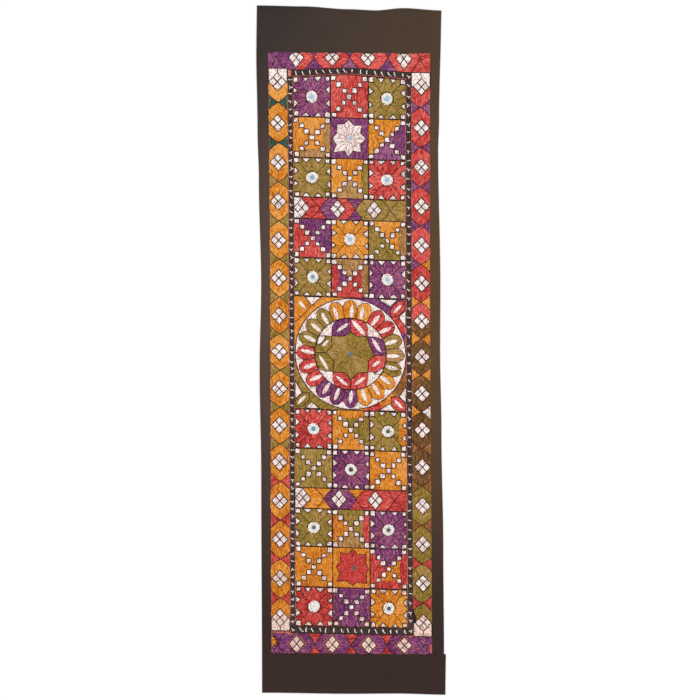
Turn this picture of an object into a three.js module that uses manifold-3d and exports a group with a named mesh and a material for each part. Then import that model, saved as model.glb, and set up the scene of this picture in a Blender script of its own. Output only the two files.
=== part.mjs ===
// Embroidered table runner with mirror work: a thickly stitched panel in a surround of black cotton.
// Millimetres. +X to the right, +Y along the runner, +Z up. The origin lies under the middle of the cloth.
import * as THREE from "three";
import { mergeVertices } from "three/addons/utils/BufferGeometryUtils.js";
import Module from "manifold-3d";

const wasm = await Module();
wasm.setup();

// The panel, before it was pulled out of square
const PANEL_WIDTH = 355;
const PANEL_LENGTH = 1331;
const FIELD_WIDTH = 248;
const TAPE_WIDTH = { left: 10, right: 10.9, top: 13, bottom: 13.8 };
const TAPE_MARGIN = 0.7;
const BORDER_WIDTH = 41;
const TOP_TAPE_Y = 618.3;
const TOP_TAPE_LEFT = -127;
const BOTTOM_TAPE_Y = -615.2;
const LEFT_TAPE_TOP = 611;

// Thicknesses, from the surface that the runner lies on
const GROUND_TOP = 1.4;
const STITCH_TOP = 2.0;
const PATCH_TOP = 2.5;
const RING_TOP = 3.0;
const COTTON_TOP = 1.5;
const HEM_TOP = 2.1;
const HEM_WIDTH = 6;
const TAPE_THICKNESS = 1.0;
const MIRROR_THICKNESS = 1.0;
const SEAT_GAP = 0.3;
const CUT_TOP = 4.0;

// Stitched motifs
const GROOVE = 1.6;
const PATCH_INSET = 1.4;
const SQUARE_SIDE = 10.4;
const SQUARES_TO_CORNER = 3;
const TRIANGLE_BASE = 17;
const TRIANGLE_HEIGHT = 9.5;
const TRIANGLE_PLACE = 0.33;
const RING_RADIUS = 13.5;
const MIRROR_RADIUS = 5.9;
const MIRROR_CLEARANCE = 0.45;
const ROUND_SIDES = 12;
const DIAMOND = {
  side: { width: 36, height: 38.5 },
  top: { width: 34, height: 48 },
  bottom: { width: 34.5, height: 39.5 },
  band: { width: 34.5, height: 41 },
};

// The two stars, in shares of the half size of their block: where the mirror sits, and each tip with the
// notch after it, clockwise from the top
const STARS = {
  white: {
    mirror: [0.04, 0],
    points: [
      { tip: [-0.04, 0.93], notch: [0.26, 0.64] },
      { tip: [0.67, 0.69], notch: [0.58, 0.3] },
      { tip: [0.89, 0.01], notch: [0.58, -0.28] },
      { tip: [0.61, -0.68], notch: [0.2, -0.61] },
      { tip: [-0.08, -0.91], notch: [-0.25, -0.62] },
      { tip: [-0.87, -0.71], notch: [-0.71, -0.33] },
      { tip: [-0.92, 0], notch: [-0.68, 0.26] },
      { tip: [-0.66, 0.69], notch: [-0.29, 0.71] },
    ],
  },
  red: {
    mirror: [0.14, 0],
    points: [
      { tip: [0.07, 0.93], notch: [0.33, 0.68] },
      { tip: [0.8, 0.68], notch: [0.78, 0.23] },
      { tip: [0.91, -0.03], notch: [0.79, -0.26] },
      { tip: [0.8, -0.76], notch: [0.3, -0.71] },
      { tip: [0.07, -0.87], notch: [-0.3, -0.63] },
      { tip: [-0.75, -0.7], notch: [-0.58, -0.25] },
      { tip: [-0.83, 0.03], notch: [-0.57, 0.26] },
      { tip: [-0.61, 0.75], notch: [-0.17, 0.69] },
    ],
  },
};

// The round medallion in the middle of the field
const PETAL_COUNT = 20;
const PETAL_INNER = 78;
const PETAL_SHOULDER = 108;
const PETAL_TIP = 120;
const PETAL_GAP_DEG = 1.2;
const SLIT_WIDTH = 6.5;
const SLIT_INNER = 80;
const SLIT_OUTER = 109;
const CIRCLE_RADIUS = 122;
const LEAF_WIDTH = 22;
const LEAF_END_GAP = 4;
const LEAF_BULGE = 0.3;
const LEAF_SPLAY = 0.06;
const CENTRE_HALF_SIDE = 39;
const CENTRE_TIP = 50;
const CENTRE_TIP_HALF = 15;
const CORNER_STEPS = 8;
const CORNER_START = 0.16;

// How the finished panel lies: out of square, its rows falling to the right and its top row arched
const PANEL_SHIFT_X = -1.2;
const PANEL_SHIFT_Y = -7.2;
const LEAN = 0.0043;
const ROW_SLOPE = -0.036;
const END_SLOPE = -0.009;
const SLOPE_POWER = 8;
const SPREAD = 0.008;
const TOP_SPREAD = 0.004;
const ARCH = { foot: 521, peak: 616.7, rise: 8, reach: 140 };

// The field, from its top: what each row holds and how tall it is
const FIELD_TOP = 609;
const FIELD_ROWS = [
  { height: 88, motifs: ["flower", "cross", "flower"] },
  { height: 90, motifs: ["cross", "whiteStar", "cross"] },
  { height: 88.5, motifs: ["flower", "cross", "flower"] },
  { height: 47, motifs: ["band"] },
  { height: 86.5, motifs: ["cross", "flower", "cross"] },
  { height: 86, motifs: ["flower", "cross", "flower"] },
  { height: 249.5, motifs: ["medallion"] },
  { height: 88, motifs: ["flower", "cross", "flower"] },
  { height: 87, motifs: ["cross", "flower", "cross"] },
  { height: 45.5, motifs: ["band"] },
  { height: 84.5, motifs: ["flower", "cross", "flower"] },
  { height: 89, motifs: ["cross", "redStar", "cross"] },
  { height: 86.5, motifs: ["flower", "cross", "flower"] },
];

// Where the diamonds of the border sit along each side, and across the ends
const SIDE_DIAMONDS_Y = [600, 505, 418, 331, 245, 161, 77, -2, -84, -165, -247, -333, -418, -505, -590];
const SIDE_DIAMOND_X = { left: -158, right: 158.5 };
const END_DIAMONDS = {
  top: { x: [-116.3, -37, 41, 120], y: 654.5 },
  bottom: { x: [-121.7, -42.8, 37.5, 116.4], y: -646.2 },
};

// Where the diamonds sit in the two narrow bands of the field
const BAND_DIAMONDS_X = [-106.5, -27, 53.5];

// The outer edges of the black cotton, which was cut by eye
const LEFT_EDGE = [
  { y: 764, x: -208.8 },
  { y: 658, x: -210 },
  { y: 488, x: -207.3 },
  { y: 379, x: -204.4 },
  { y: 144, x: -199.3 },
  { y: -44, x: -202.6 },
  { y: -277, x: -199.1 },
  { y: -764, x: -197.1 },
];
const RIGHT_EDGE = [
  { y: 764, x: 200 },
  { y: 512, x: 195.1 },
  { y: 443, x: 193.1 },
  { y: 144, x: 197.8 },
  { y: 0, x: 197.3 },
  { y: -177, x: 200.2 },
  { y: -443, x: 204.4 },
  { y: -676, x: 206 },
];
const TOP_EDGE = [
  { x: -210, y: 764 },
  { x: -109, y: 762 },
  { x: -2, y: 755.5 },
  { x: 55, y: 753 },
  { x: 115, y: 758 },
  { x: 200, y: 753 },
];
const BOTTOM_EDGE = [
  { x: -198, y: -759.5 },
  { x: 0, y: -762 },
  { x: 100, y: -761.4 },
  { x: 210, y: -764 },
];
const BOTTOM_STRIP_RIGHT = { upper: 210, lower: 208.8 };
const EDGE_STEPS = 22;
const END_STEPS = 12;

const HALF_WIDTH = PANEL_WIDTH / 2;
const HALF_LENGTH = PANEL_LENGTH / 2;
const HALF_FIELD = FIELD_WIDTH / 2;

/** A step from 0 to 1 that starts and ends level. */
function smooth(t) {
  const held = Math.min(1, Math.max(0, t));
  return held * held * (3 - 2 * held);
}

/** Evenly spaced numbers from one value to another. */
function steps(from, to, count) {
  return Array.from({ length: count + 1 }, (_, i) => from + ((to - from) * i) / count);
}

/** The value of a table's column, eased between its rows. */
function along(table, place, column, at) {
  const rising = table[0][place] < table[table.length - 1][place];
  const rows = rising ? table : [...table].reverse();
  const last = rows.length - 1;
  const next = Math.min(last, Math.max(1, rows.findIndex((row) => row[place] >= at)));
  const [from, to] = [rows[next - 1], rows[next]];
  const share = smooth((at - from[place]) / (to[place] - from[place]));
  return from[column] + share * (to[column] - from[column]);
}

/** Where a point of the square chart lies on the finished cloth. */
function laid(u, v) {
  const t = Math.max(-1, Math.min(1, v / HALF_LENGTH));
  const end = t ** SLOPE_POWER;
  const slope = ROW_SLOPE * (1 - end) + END_SLOPE * end;
  const spread = 1 + SPREAD * t ** 2 + TOP_SPREAD * t ** 3;
  const up = smooth((v - ARCH.foot) / (ARCH.peak - ARCH.foot));
  const down = smooth((HALF_LENGTH - v) / (HALF_LENGTH - ARCH.peak));
  const arch = ARCH.rise * Math.min(up, down) * (1 - smooth(Math.abs(u) / ARCH.reach));
  return new THREE.Vector2(PANEL_SHIFT_X - LEAN * v + u * spread, PANEL_SHIFT_Y + v + slope * u + arch);
}

/** A closed body from its outline, between two heights. */
function slab(points, bottom, top) {
  const geometry = new THREE.ExtrudeGeometry(new THREE.Shape(points), {
    depth: top - bottom,
    bevelEnabled: false,
  });
  geometry.translate(0, 0, bottom);
  return geometry;
}

/** The same body as a solid that can be joined and cut. */
function solid(geometry) {
  const bare = geometry.clone();
  bare.deleteAttribute("normal");
  bare.deleteAttribute("uv");
  const merged = mergeVertices(bare, 1e-4);
  const mesh = new wasm.Mesh({
    numProp: 3,
    vertProperties: Float32Array.from(merged.attributes.position.array),
    triVerts: Uint32Array.from(merged.index.array),
  });
  return new wasm.Manifold(mesh);
}

/** A solid's faces as a geometry. */
function faces(body) {
  const mesh = body.getMesh();
  const geometry = new THREE.BufferGeometry();
  geometry.setAttribute("position", new THREE.BufferAttribute(mesh.vertProperties, mesh.numProp));
  geometry.setIndex(new THREE.BufferAttribute(mesh.triVerts, 1));
  const flat = geometry.toNonIndexed();
  flat.computeVertexNormals();
  return flat;
}

/** Chart points turned into an outline on the finished cloth. */
function outline(points) {
  return points.map(([u, v]) => laid(u, v));
}

/** A raised patch of stitching: its chart points and the height of its top. */
function patch(points, top = PATCH_TOP) {
  return { points, top };
}

/** The corners of an upright rectangle in the chart. */
function rectangle(cx, cy, width, height) {
  const [w, h] = [width / 2, height / 2];
  return [
    [cx - w, cy - h],
    [cx + w, cy - h],
    [cx + w, cy + h],
    [cx - w, cy + h],
  ];
}

/** A regular polygon in the chart. */
function round(cx, cy, radius, sides = ROUND_SIDES) {
  return Array.from({ length: sides }, (_, i) => {
    const angle = (2 * Math.PI * (i + 0.5)) / sides;
    return [cx + radius * Math.cos(angle), cy + radius * Math.sin(angle)];
  });
}

/** A standing diamond in the chart. */
function diamond(cx, cy, { width, height }) {
  return [
    [cx - width / 2, cy],
    [cx, cy - height / 2],
    [cx + width / 2, cy],
    [cx, cy + height / 2],
  ];
}

/** The part of an upright diamond that lies no further out than a limit. */
function cutOff(points, limit) {
  const [left, low, right, high] = points;
  const beyond = Math.max(Math.abs(low[1]), Math.abs(high[1])) - limit;
  if (beyond <= 0) {
    return points;
  }
  const up = high[1] > 0;
  const tip = up ? high : low;
  const slope = (right[0] - tip[0]) / Math.abs(tip[1] - right[1]);
  const edge = up ? limit : -limit;
  const reach = beyond * slope;
  const shortLeft = [tip[0] - reach, edge];
  const shortRight = [tip[0] + reach, edge];
  return up ? [left, low, right, shortRight, shortLeft] : [left, shortLeft, shortRight, right, high];
}

/** A point given by its angle from straight up, clockwise, and its distance from a centre. */
function polar(cx, cy, angle, radius) {
  return [cx + radius * Math.sin(angle), cy + radius * Math.cos(angle)];
}

/** A leaf between two points, widest over its middle half. */
function leaf(from, to, width) {
  const axis = new THREE.Vector2(to[0] - from[0], to[1] - from[1]);
  const side = new THREE.Vector2(-axis.y, axis.x).normalize().multiplyScalar(width / 2);
  const at = (share, across) => [
    from[0] + axis.x * share + side.x * across,
    from[1] + axis.y * share + side.y * across,
  ];
  return [from, at(LEAF_BULGE, -1), at(1 - LEAF_BULGE, -1), to, at(1 - LEAF_BULGE, 1), at(LEAF_BULGE, 1)];
}

/** The half width and half height of a block, inside its groove. */
function halfSize(block, inset) {
  return [block.width / 2 - inset, block.height / 2 - inset];
}

/** Squares on a block's diagonals: ring 0 is its middle, and the last ring its corners. */
function diagonalSquares(block, ring) {
  const [w, h] = halfSize(block, PATCH_INSET + SQUARE_SIDE / 2);
  const share = ring / SQUARES_TO_CORNER;
  const places = ring === 0 ? [[0, 0]] : [[-1, -1], [1, -1], [1, 1], [-1, 1]];
  return places.map(([i, j]) =>
    patch(rectangle(block.u + i * share * w, block.v + j * share * h, SQUARE_SIDE, SQUARE_SIDE)),
  );
}

/** Thirteen squares on the two diagonals. */
function crossMotif(block) {
  const rings = Array.from({ length: SQUARES_TO_CORNER + 1 }, (_, ring) => ring);
  return { patches: rings.flatMap((ring) => diagonalSquares(block, ring)), mirrors: [] };
}

/** A ringed mirror, corner squares and two triangles pointing in from each side. */
function flowerMotif(block) {
  const patches = diagonalSquares(block, SQUARES_TO_CORNER);
  const [w, h] = halfSize(block, PATCH_INSET);
  for (const side of [-1, 1]) {
    for (const place of [-TRIANGLE_PLACE, TRIANGLE_PLACE]) {
      const [u, v] = [block.u + place * w, block.v + place * h];
      patches.push(
        patch([
          [u - TRIANGLE_BASE / 2, block.v + side * h],
          [u + TRIANGLE_BASE / 2, block.v + side * h],
          [u, block.v + side * (h - TRIANGLE_HEIGHT)],
        ]),
        patch([
          [block.u + side * w, v - TRIANGLE_BASE / 2],
          [block.u + side * w, v + TRIANGLE_BASE / 2],
          [block.u + side * (w - TRIANGLE_HEIGHT), v],
        ]),
      );
    }
  }
  patches.push(patch(round(block.u, block.v, RING_RADIUS), RING_TOP));
  return { patches, mirrors: [[block.u, block.v]] };
}

/** An eight-pointed star round a mirror. */
function starMotif(block, star) {
  const at = ([x, y]) => [block.u + (x * block.width) / 2, block.v + (y * block.height) / 2];
  const corners = star.points.flatMap(({ tip, notch }) => [at(tip), at(notch)]);
  return { patches: [patch(corners)], mirrors: [at(star.mirror)] };
}

/** Diamonds, as in the border, in a narrow band across the field. */
function bandMotif(block) {
  const patches = BAND_DIAMONDS_X.map((u) => patch(diamond(u, block.v, DIAMOND.band)));
  return { patches, mirrors: [] };
}

/** Twenty petals round a ring of leaves, with a star and a mirror in the middle. */
function medallionMotif(block) {
  const { u, v } = block;
  const patches = [];
  const half = Math.PI / PETAL_COUNT - (PETAL_GAP_DEG * Math.PI) / 360;
  for (let i = 0; i < PETAL_COUNT; i += 1) {
    const angle = (2 * Math.PI * i) / PETAL_COUNT;
    patches.push(
      patch([
        polar(u, v, angle - half, PETAL_INNER),
        polar(u, v, angle - half, PETAL_SHOULDER),
        polar(u, v, angle, PETAL_TIP),
        polar(u, v, angle + half, PETAL_SHOULDER),
        polar(u, v, angle + half, PETAL_INNER),
      ], STITCH_TOP),
      patch(leaf(polar(u, v, angle, SLIT_INNER), polar(u, v, angle, SLIT_OUTER), SLIT_WIDTH)),
    );
  }
  for (let quarter = 0; quarter < 4; quarter += 1) {
    const axis = (Math.PI / 2) * quarter;
    for (const side of [-1, 1]) {
      const diagonal = axis + side * (Math.PI / 4 - LEAF_SPLAY / 2);
      const corner = polar(u, v, diagonal, CENTRE_HALF_SIDE * Math.SQRT2 + LEAF_END_GAP);
      const meet = polar(u, v, axis + side * LEAF_SPLAY, PETAL_INNER - LEAF_END_GAP);
      patches.push(patch(leaf(corner, meet, LEAF_WIDTH), STITCH_TOP));
    }
  }
  const star = [];
  for (let quarter = 0; quarter < 4; quarter += 1) {
    const axis = (Math.PI / 2) * quarter;
    const turn = ([across, out]) => [
      u + across * Math.cos(axis) + out * Math.sin(axis),
      v - across * Math.sin(axis) + out * Math.cos(axis),
    ];
    star.push(
      turn([-CENTRE_HALF_SIDE, CENTRE_HALF_SIDE]),
      turn([-CENTRE_TIP_HALF, CENTRE_HALF_SIDE]),
      turn([0, CENTRE_TIP]),
      turn([CENTRE_TIP_HALF, CENTRE_HALF_SIDE]),
    );
  }
  patches.push(patch(star, STITCH_TOP));
  for (const [i, j] of [[-1, -1], [1, -1], [1, 1], [-1, 1]]) {
    const [w, h] = halfSize(block, GROOVE / 2);
    const corner = [u + i * w, v + j * h];
    const arc = steps(CORNER_START, Math.PI / 2 - CORNER_START, CORNER_STEPS).map((angle) => [
      u + i * CIRCLE_RADIUS * Math.sin(angle),
      v + j * CIRCLE_RADIUS * Math.cos(angle),
    ]);
    const alongTop = [arc[0][0], corner[1]];
    const alongSide = [corner[0], arc[CORNER_STEPS][1]];
    patches.push(patch([corner, alongTop, ...arc, alongSide], STITCH_TOP));
  }
  return { patches, mirrors: [[u, v]], onGround: true };
}

const MOTIFS = {
  flower: flowerMotif,
  cross: crossMotif,
  whiteStar: (block) => starMotif(block, STARS.white),
  redStar: (block) => starMotif(block, STARS.red),
  band: bandMotif,
  medallion: medallionMotif,
};

/** Every raised patch of the panel, and where its mirrors sit. */
function stitching() {
  const patches = [];
  const mirrors = [];
  let top = FIELD_TOP;
  for (const row of FIELD_ROWS) {
    const width = FIELD_WIDTH / row.motifs.length;
    row.motifs.forEach((name, column) => {
      const block = {
        u: -HALF_FIELD + (column + 0.5) * width,
        v: top - row.height / 2,
        width,
        height: row.height,
      };
      const motif = MOTIFS[name](block);
      if (!motif.onGround) {
        patches.push(patch(rectangle(block.u, block.v, width - GROOVE, row.height - GROOVE), STITCH_TOP));
      }
      patches.push(...motif.patches);
      mirrors.push(...motif.mirrors);
    });
    top -= row.height;
  }
  return { patches, mirrors };
}

/** The stitched strips and diamonds of the border. */
function border() {
  const patches = [];
  const inset = GROOVE / 2;
  const inner = HALF_WIDTH - BORDER_WIDTH;
  const topFoot = TOP_TAPE_Y + TAPE_WIDTH.top / 2 + TAPE_MARGIN;
  const bottomHead = BOTTOM_TAPE_Y - TAPE_WIDTH.bottom / 2 - TAPE_MARGIN;
  const stops = [HALF_LENGTH - inset, ...SIDE_DIAMONDS_Y, -HALF_LENGTH + inset];
  const down = (u) => stops.map((v) => [u, v]);
  for (const side of [-1, 1]) {
    const outerEdge = down(side * (HALF_WIDTH - inset));
    patches.push(patch([...outerEdge, ...down(side * inner).reverse()], STITCH_TOP));
  }
  for (const [low, high] of [[topFoot, HALF_LENGTH - inset], [-HALF_LENGTH + inset, bottomHead]]) {
    const across = steps(-inner + GROOVE, inner - GROOVE, END_STEPS);
    const upper = across.map((u) => [u, high]);
    const lower = across.map((u) => [u, low]).reverse();
    patches.push(patch([...upper, ...lower], STITCH_TOP));
  }
  for (const v of SIDE_DIAMONDS_Y) {
    patches.push(patch(diamond(SIDE_DIAMOND_X.left, v, DIAMOND.side)));
    patches.push(patch(diamond(SIDE_DIAMOND_X.right, v, DIAMOND.side)));
  }
  const cut = HALF_LENGTH - inset - GROOVE;
  for (const [end, row] of Object.entries(END_DIAMONDS)) {
    for (const u of row.x) {
      const points = cutOff(diamond(u, row.y, DIAMOND[end]), cut);
      patches.push(patch(points));
    }
  }
  return patches;
}

/** The panel's cloth, with its stitching raised and a seat cut for each mirror. */
function panelBody(patches, mirrors) {
  const sides = steps(HALF_LENGTH, -HALF_LENGTH, EDGE_STEPS);
  const ends = steps(-HALF_WIDTH, HALF_WIDTH, END_STEPS);
  const edge = [
    ...sides.map((v) => [-HALF_WIDTH, v]),
    ...ends.slice(1, -1).map((u) => [u, -HALF_LENGTH]),
    ...[...sides].reverse().map((v) => [HALF_WIDTH, v]),
    ...ends.slice(1, -1).reverse().map((u) => [u, HALF_LENGTH]),
  ];
  let body = solid(slab(outline(edge), 0, GROUND_TOP));
  for (const { points, top } of patches) {
    body = body.add(solid(slab(outline(points), GROUND_TOP / 2, top)));
  }
  for (const [u, v] of mirrors) {
    const seat = round(u, v, MIRROR_RADIUS + MIRROR_CLEARANCE);
    body = body.subtract(solid(slab(outline(seat), GROUND_TOP, CUT_TOP)));
  }
  return faces(body);
}

/** Cotton cloth with a turned hem along part of its edge. */
function hemmed(cloth, hem) {
  return faces(solid(slab(cloth, 0, COTTON_TOP)).add(solid(slab(hem, COTTON_TOP / 2, HEM_TOP))));
}

/** Where the line of the panel's end lies at some x, above (1) or below (-1). */
function endSeam(x, end) {
  return laid(x - PANEL_SHIFT_X, end * HALF_LENGTH).y;
}

/** A cotton strip down one side of the panel, between the two end strips. */
function sideStrip(side, edgeTable) {
  const runs = steps(HALF_LENGTH, -HALF_LENGTH, EDGE_STEPS);
  const seam = runs.map((v) => laid(side * (HALF_WIDTH + SEAT_GAP), v));
  const outer = seam.map((point) => new THREE.Vector2(along(edgeTable, "y", "x", point.y), point.y));
  const hemLine = outer.map((point) => new THREE.Vector2(point.x - side * HEM_WIDTH, point.y));
  for (const edge of [outer, hemLine]) {
    edge[0].y = endSeam(edge[0].x, 1);
    edge[edge.length - 1].y = endSeam(edge[edge.length - 1].x, -1);
  }
  return hemmed([...seam, ...[...outer].reverse()], [...hemLine, ...[...outer].reverse()]);
}

/** The cotton strip above the panel. */
function topStrip() {
  const seamY = (x) => endSeam(x, 1) + SEAT_GAP;
  const left = LEFT_EDGE[0].x;
  const right = RIGHT_EDGE[0].x;
  const across = steps(left, right, END_STEPS);
  const seam = [
    new THREE.Vector2(LEFT_EDGE[1].x, seamY(LEFT_EDGE[1].x)),
    ...across.slice(1, -1).map((x) => new THREE.Vector2(x, seamY(x))),
    new THREE.Vector2(along(RIGHT_EDGE, "y", "x", seamY(right)), seamY(right)),
  ];
  const outer = across.map((x) => new THREE.Vector2(x, along(TOP_EDGE, "x", "y", x)));
  const hemLine = outer.map((point) => new THREE.Vector2(point.x, point.y - HEM_WIDTH));
  return hemmed([...seam, ...[...outer].reverse()], [...hemLine, ...[...outer].reverse()]);
}

/** The cotton strip below the panel, cut a little wider at its right end. */
function bottomStrip() {
  const seamY = (x) => endSeam(x, -1) - SEAT_GAP;
  const left = along(LEFT_EDGE, "y", "x", seamY(0));
  const across = steps(left, BOTTOM_STRIP_RIGHT.upper, END_STEPS);
  const seam = across.map((x) => new THREE.Vector2(x, seamY(x)));
  const outer = steps(LEFT_EDGE[LEFT_EDGE.length - 1].x, BOTTOM_STRIP_RIGHT.lower, END_STEPS).map(
    (x) => new THREE.Vector2(x, along(BOTTOM_EDGE, "x", "y", x)),
  );
  const hemLine = outer.map((point) => new THREE.Vector2(point.x, point.y + HEM_WIDTH));
  return hemmed([...seam, ...[...outer].reverse()], [...hemLine, ...[...outer].reverse()]);
}

/** A length of tape lying on the ground cloth, along a straight run of the chart. */
function tape(from, to, width, count) {
  const [du, dv] = [to[0] - from[0], to[1] - from[1]];
  const length = Math.hypot(du, dv);
  const [su, sv] = [(-dv / length) * (width / 2), (du / length) * (width / 2)];
  const runs = steps(0, 1, count);
  const edge = (side) => runs.map((t) => [from[0] + du * t + side * su, from[1] + dv * t + side * sv]);
  const points = outline([...edge(-1), ...edge(1).reverse()]);
  const bottom = GROUND_TOP + SEAT_GAP;
  return slab(points, bottom, bottom + TAPE_THICKNESS);
}

/** A small round mirror in its seat. */
function mirrorDisc(u, v) {
  const bottom = GROUND_TOP + SEAT_GAP;
  return slab(outline(round(u, v, MIRROR_RADIUS)), bottom, bottom + MIRROR_THICKNESS);
}

const STITCHED = new THREE.MeshStandardMaterial({ color: 0xb06a3a, roughness: 0.8, metalness: 0 });
const COTTON = new THREE.MeshStandardMaterial({ color: 0x3a302d, roughness: 0.95, metalness: 0 });
const TAPE = new THREE.MeshStandardMaterial({ color: 0x2e2829, roughness: 0.9, metalness: 0 });
const MIRROR = new THREE.MeshStandardMaterial({ color: 0xb9d0e6, roughness: 0.1, metalness: 0.9 });

const runner = new THREE.Group();

/** Adds a named piece to the runner. */
function add(name, geometry, material) {
  const mesh = new THREE.Mesh(geometry, material);
  mesh.name = name;
  runner.add(mesh);
}

const { patches, mirrors } = stitching();
add("embroidered_panel", panelBody([...patches, ...border()], mirrors), STITCHED);

add("strip_top", topStrip(), COTTON);
add("strip_bottom", bottomStrip(), COTTON);
add("strip_left", sideStrip(-1, LEFT_EDGE), COTTON);
add("strip_right", sideStrip(1, RIGHT_EDGE), COTTON);

const tapeX = (width) => HALF_FIELD + TAPE_MARGIN + width / 2;
const tapeEnd = HALF_FIELD + TAPE_MARGIN - SEAT_GAP;
const tapeBottomEnd = BOTTOM_TAPE_Y - TAPE_WIDTH.bottom / 2;
const TAPE_RUNS = [
  {
    side: "left",
    from: [-tapeX(TAPE_WIDTH.left), tapeBottomEnd],
    to: [-tapeX(TAPE_WIDTH.left), LEFT_TAPE_TOP],
    count: EDGE_STEPS,
  },
  {
    side: "right",
    from: [tapeX(TAPE_WIDTH.right), tapeBottomEnd],
    to: [tapeX(TAPE_WIDTH.right), TOP_TAPE_Y + TAPE_WIDTH.top / 2],
    count: EDGE_STEPS,
  },
  { side: "top", from: [TOP_TAPE_LEFT, TOP_TAPE_Y], to: [tapeEnd, TOP_TAPE_Y], count: END_STEPS },
  { side: "bottom", from: [-tapeEnd, BOTTOM_TAPE_Y], to: [tapeEnd, BOTTOM_TAPE_Y], count: END_STEPS },
];
for (const { side, from, to, count } of TAPE_RUNS) {
  add(`tape_${side}`, tape(from, to, TAPE_WIDTH[side], count), TAPE);
}

mirrors.forEach(([u, v], i) => {
  add(`mirror_${String(i + 1).padStart(2, "0")}`, mirrorDisc(u, v), MIRROR);
});

export default runner;
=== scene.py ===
"""Looks of an embroidered table runner with mirror work, laid out flat.

The work is charted square, in millimetres, with u to the right and v along the runner. laid() pulls each
chart point to where it lies on the finished cloth. Meshes are made in metres, +Z up.
"""
import math

import bpy
import numpy as np
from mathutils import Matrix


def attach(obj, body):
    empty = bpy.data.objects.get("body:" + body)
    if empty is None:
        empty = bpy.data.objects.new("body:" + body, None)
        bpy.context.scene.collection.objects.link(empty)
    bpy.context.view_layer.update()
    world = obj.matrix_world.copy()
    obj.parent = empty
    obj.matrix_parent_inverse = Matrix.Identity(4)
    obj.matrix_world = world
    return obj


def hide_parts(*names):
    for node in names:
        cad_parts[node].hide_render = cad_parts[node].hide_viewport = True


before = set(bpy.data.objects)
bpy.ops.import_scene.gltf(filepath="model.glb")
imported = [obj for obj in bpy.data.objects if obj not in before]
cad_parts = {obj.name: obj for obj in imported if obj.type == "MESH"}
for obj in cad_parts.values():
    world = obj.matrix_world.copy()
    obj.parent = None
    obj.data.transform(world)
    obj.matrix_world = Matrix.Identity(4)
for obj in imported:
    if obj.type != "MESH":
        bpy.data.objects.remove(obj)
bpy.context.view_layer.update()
rng = np.random.default_rng(41)

MM = 0.001

# The panel, before it was pulled out of square
PANEL_WIDTH = 355
PANEL_LENGTH = 1331
FIELD_WIDTH = 248
FIELD_TOP = 609
BORDER_WIDTH = 41
TAPE_WIDTH = {"left": 10, "right": 10.9, "top": 13, "bottom": 13.8}
TAPE_MARGIN = 0.7
TOP_TAPE_V = 618.3
TOP_TAPE_LEFT = -127
BOTTOM_TAPE_V = -615.2
LEFT_TAPE_TOP = 611
HALF_WIDTH = PANEL_WIDTH / 2
HALF_LENGTH = PANEL_LENGTH / 2
HALF_FIELD = FIELD_WIDTH / 2
BORDER_INNER = HALF_WIDTH - BORDER_WIDTH
PANEL_EDGE = np.array([HALF_WIDTH - 0.2, HALF_LENGTH - 0.2])

# How the finished panel lies
PANEL_SHIFT_X = -1.2
PANEL_SHIFT_Y = -7.2
LEAN = 0.0043
ROW_SLOPE = -0.036
END_SLOPE = -0.009
SLOPE_POWER = 8
SPREAD = 0.008
TOP_SPREAD = 0.004
ARCH = {"foot": 521, "peak": 616.7, "rise": 8, "reach": 140}

# Heights above the floor
GROUND_TOP = 1.4
STITCH_FOOT = 1.3
STITCH_TOP = 2.05
PAD_TOP = 1.9
PATCH_TOP = 2.5
LINE_TOP = 2.45
PATCH_LINE_TOP = 2.85
LINE_HEIGHT = 0.5
COTTON_TOP = 1.4
MIRROR_BOTTOM = 1.7
MIRROR_TOP = 2.7
TAPE_BOTTOM = 1.7
TAPE_TOP = 2.6
FLOOR_TOP = -0.3

# Stitches: their sizes, then how unevenly they lie
FIELD_PITCH = 2.1
FIELD_STITCH = 6.3
PATCH_PITCH = 2.2
PATCH_STITCH = 8.0
COVER = 1.36
SHORTEST_STITCH = 1.3
LINE_WIDTH = 1.7
THIN_LINE = 0.8 * LINE_WIDTH
PATCH_LINE_WIDTH = 2.1
LINE_STITCH = 4.6
STITCH_TAPER = 0.9
STITCH_OVERLAP = 0.35
LINE_OVERLAP = 0.4
FLECK_RISE = 0.12
SEAM_RISE = 0.15
JOINT_SPREAD = 0.7
SIDE_SPREAD = 0.12
LINE_SPREAD = 0.15
HEIGHT_SPREAD = 0.05
FIELD_WIDTHS = (0.92, 1.08)
LINE_WIDTHS = (0.8, 1.2)
BRICK_WANDER = 0.13
BRICK_TURN = 2.4
TONE_SPREAD = 0.26
RAISED_SHARE = 0.6
DRIFT_SHARE = 0.13
FADE = 0.14

# Motifs
GROOVE = 1.6
PATCH_INSET = 1.4
SQUARE_SIDE = 10.4
SQUARES_TO_CORNER = 3
TRIANGLE = {"base": 17, "height": 9.5, "place": 0.33}
RING_RADIUS = 13.5
MIRROR_RADIUS = 5.9
INNER_SHARE = 0.6
DIAMONDS = {
    "side": {"across": 18, "along": 19.2},
    "top": {"across": 24, "along": 17},
    "bottom": {"across": 19.8, "along": 17.3},
    "band": {"across": 20.5, "along": 17.2},
}
DIAMOND_CELLS = [((0, 0), (1, -1), (0, -2), (-1, -1)), ((0, 0), (1, 1), (0, 2), (-1, 1)),
                 ((0, 0), (1, 1), (2, 0), (1, -1)), ((0, 0), (-1, 1), (-2, 0), (-1, -1))]
SHOULDER = {"side": (0.66, 0.9), "end": (0.58, 0.7)}
BARREL = 0.05
HALO = 1.2
PEACH = {"all": -600, "some": -500, "share": 0.45}
VEINS = {"turns": (-36, -22, -8, 8, 22, 36), "reach": (14.5, 25, 38), "spread": (0.75, 0.95, 1.05)}

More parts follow.
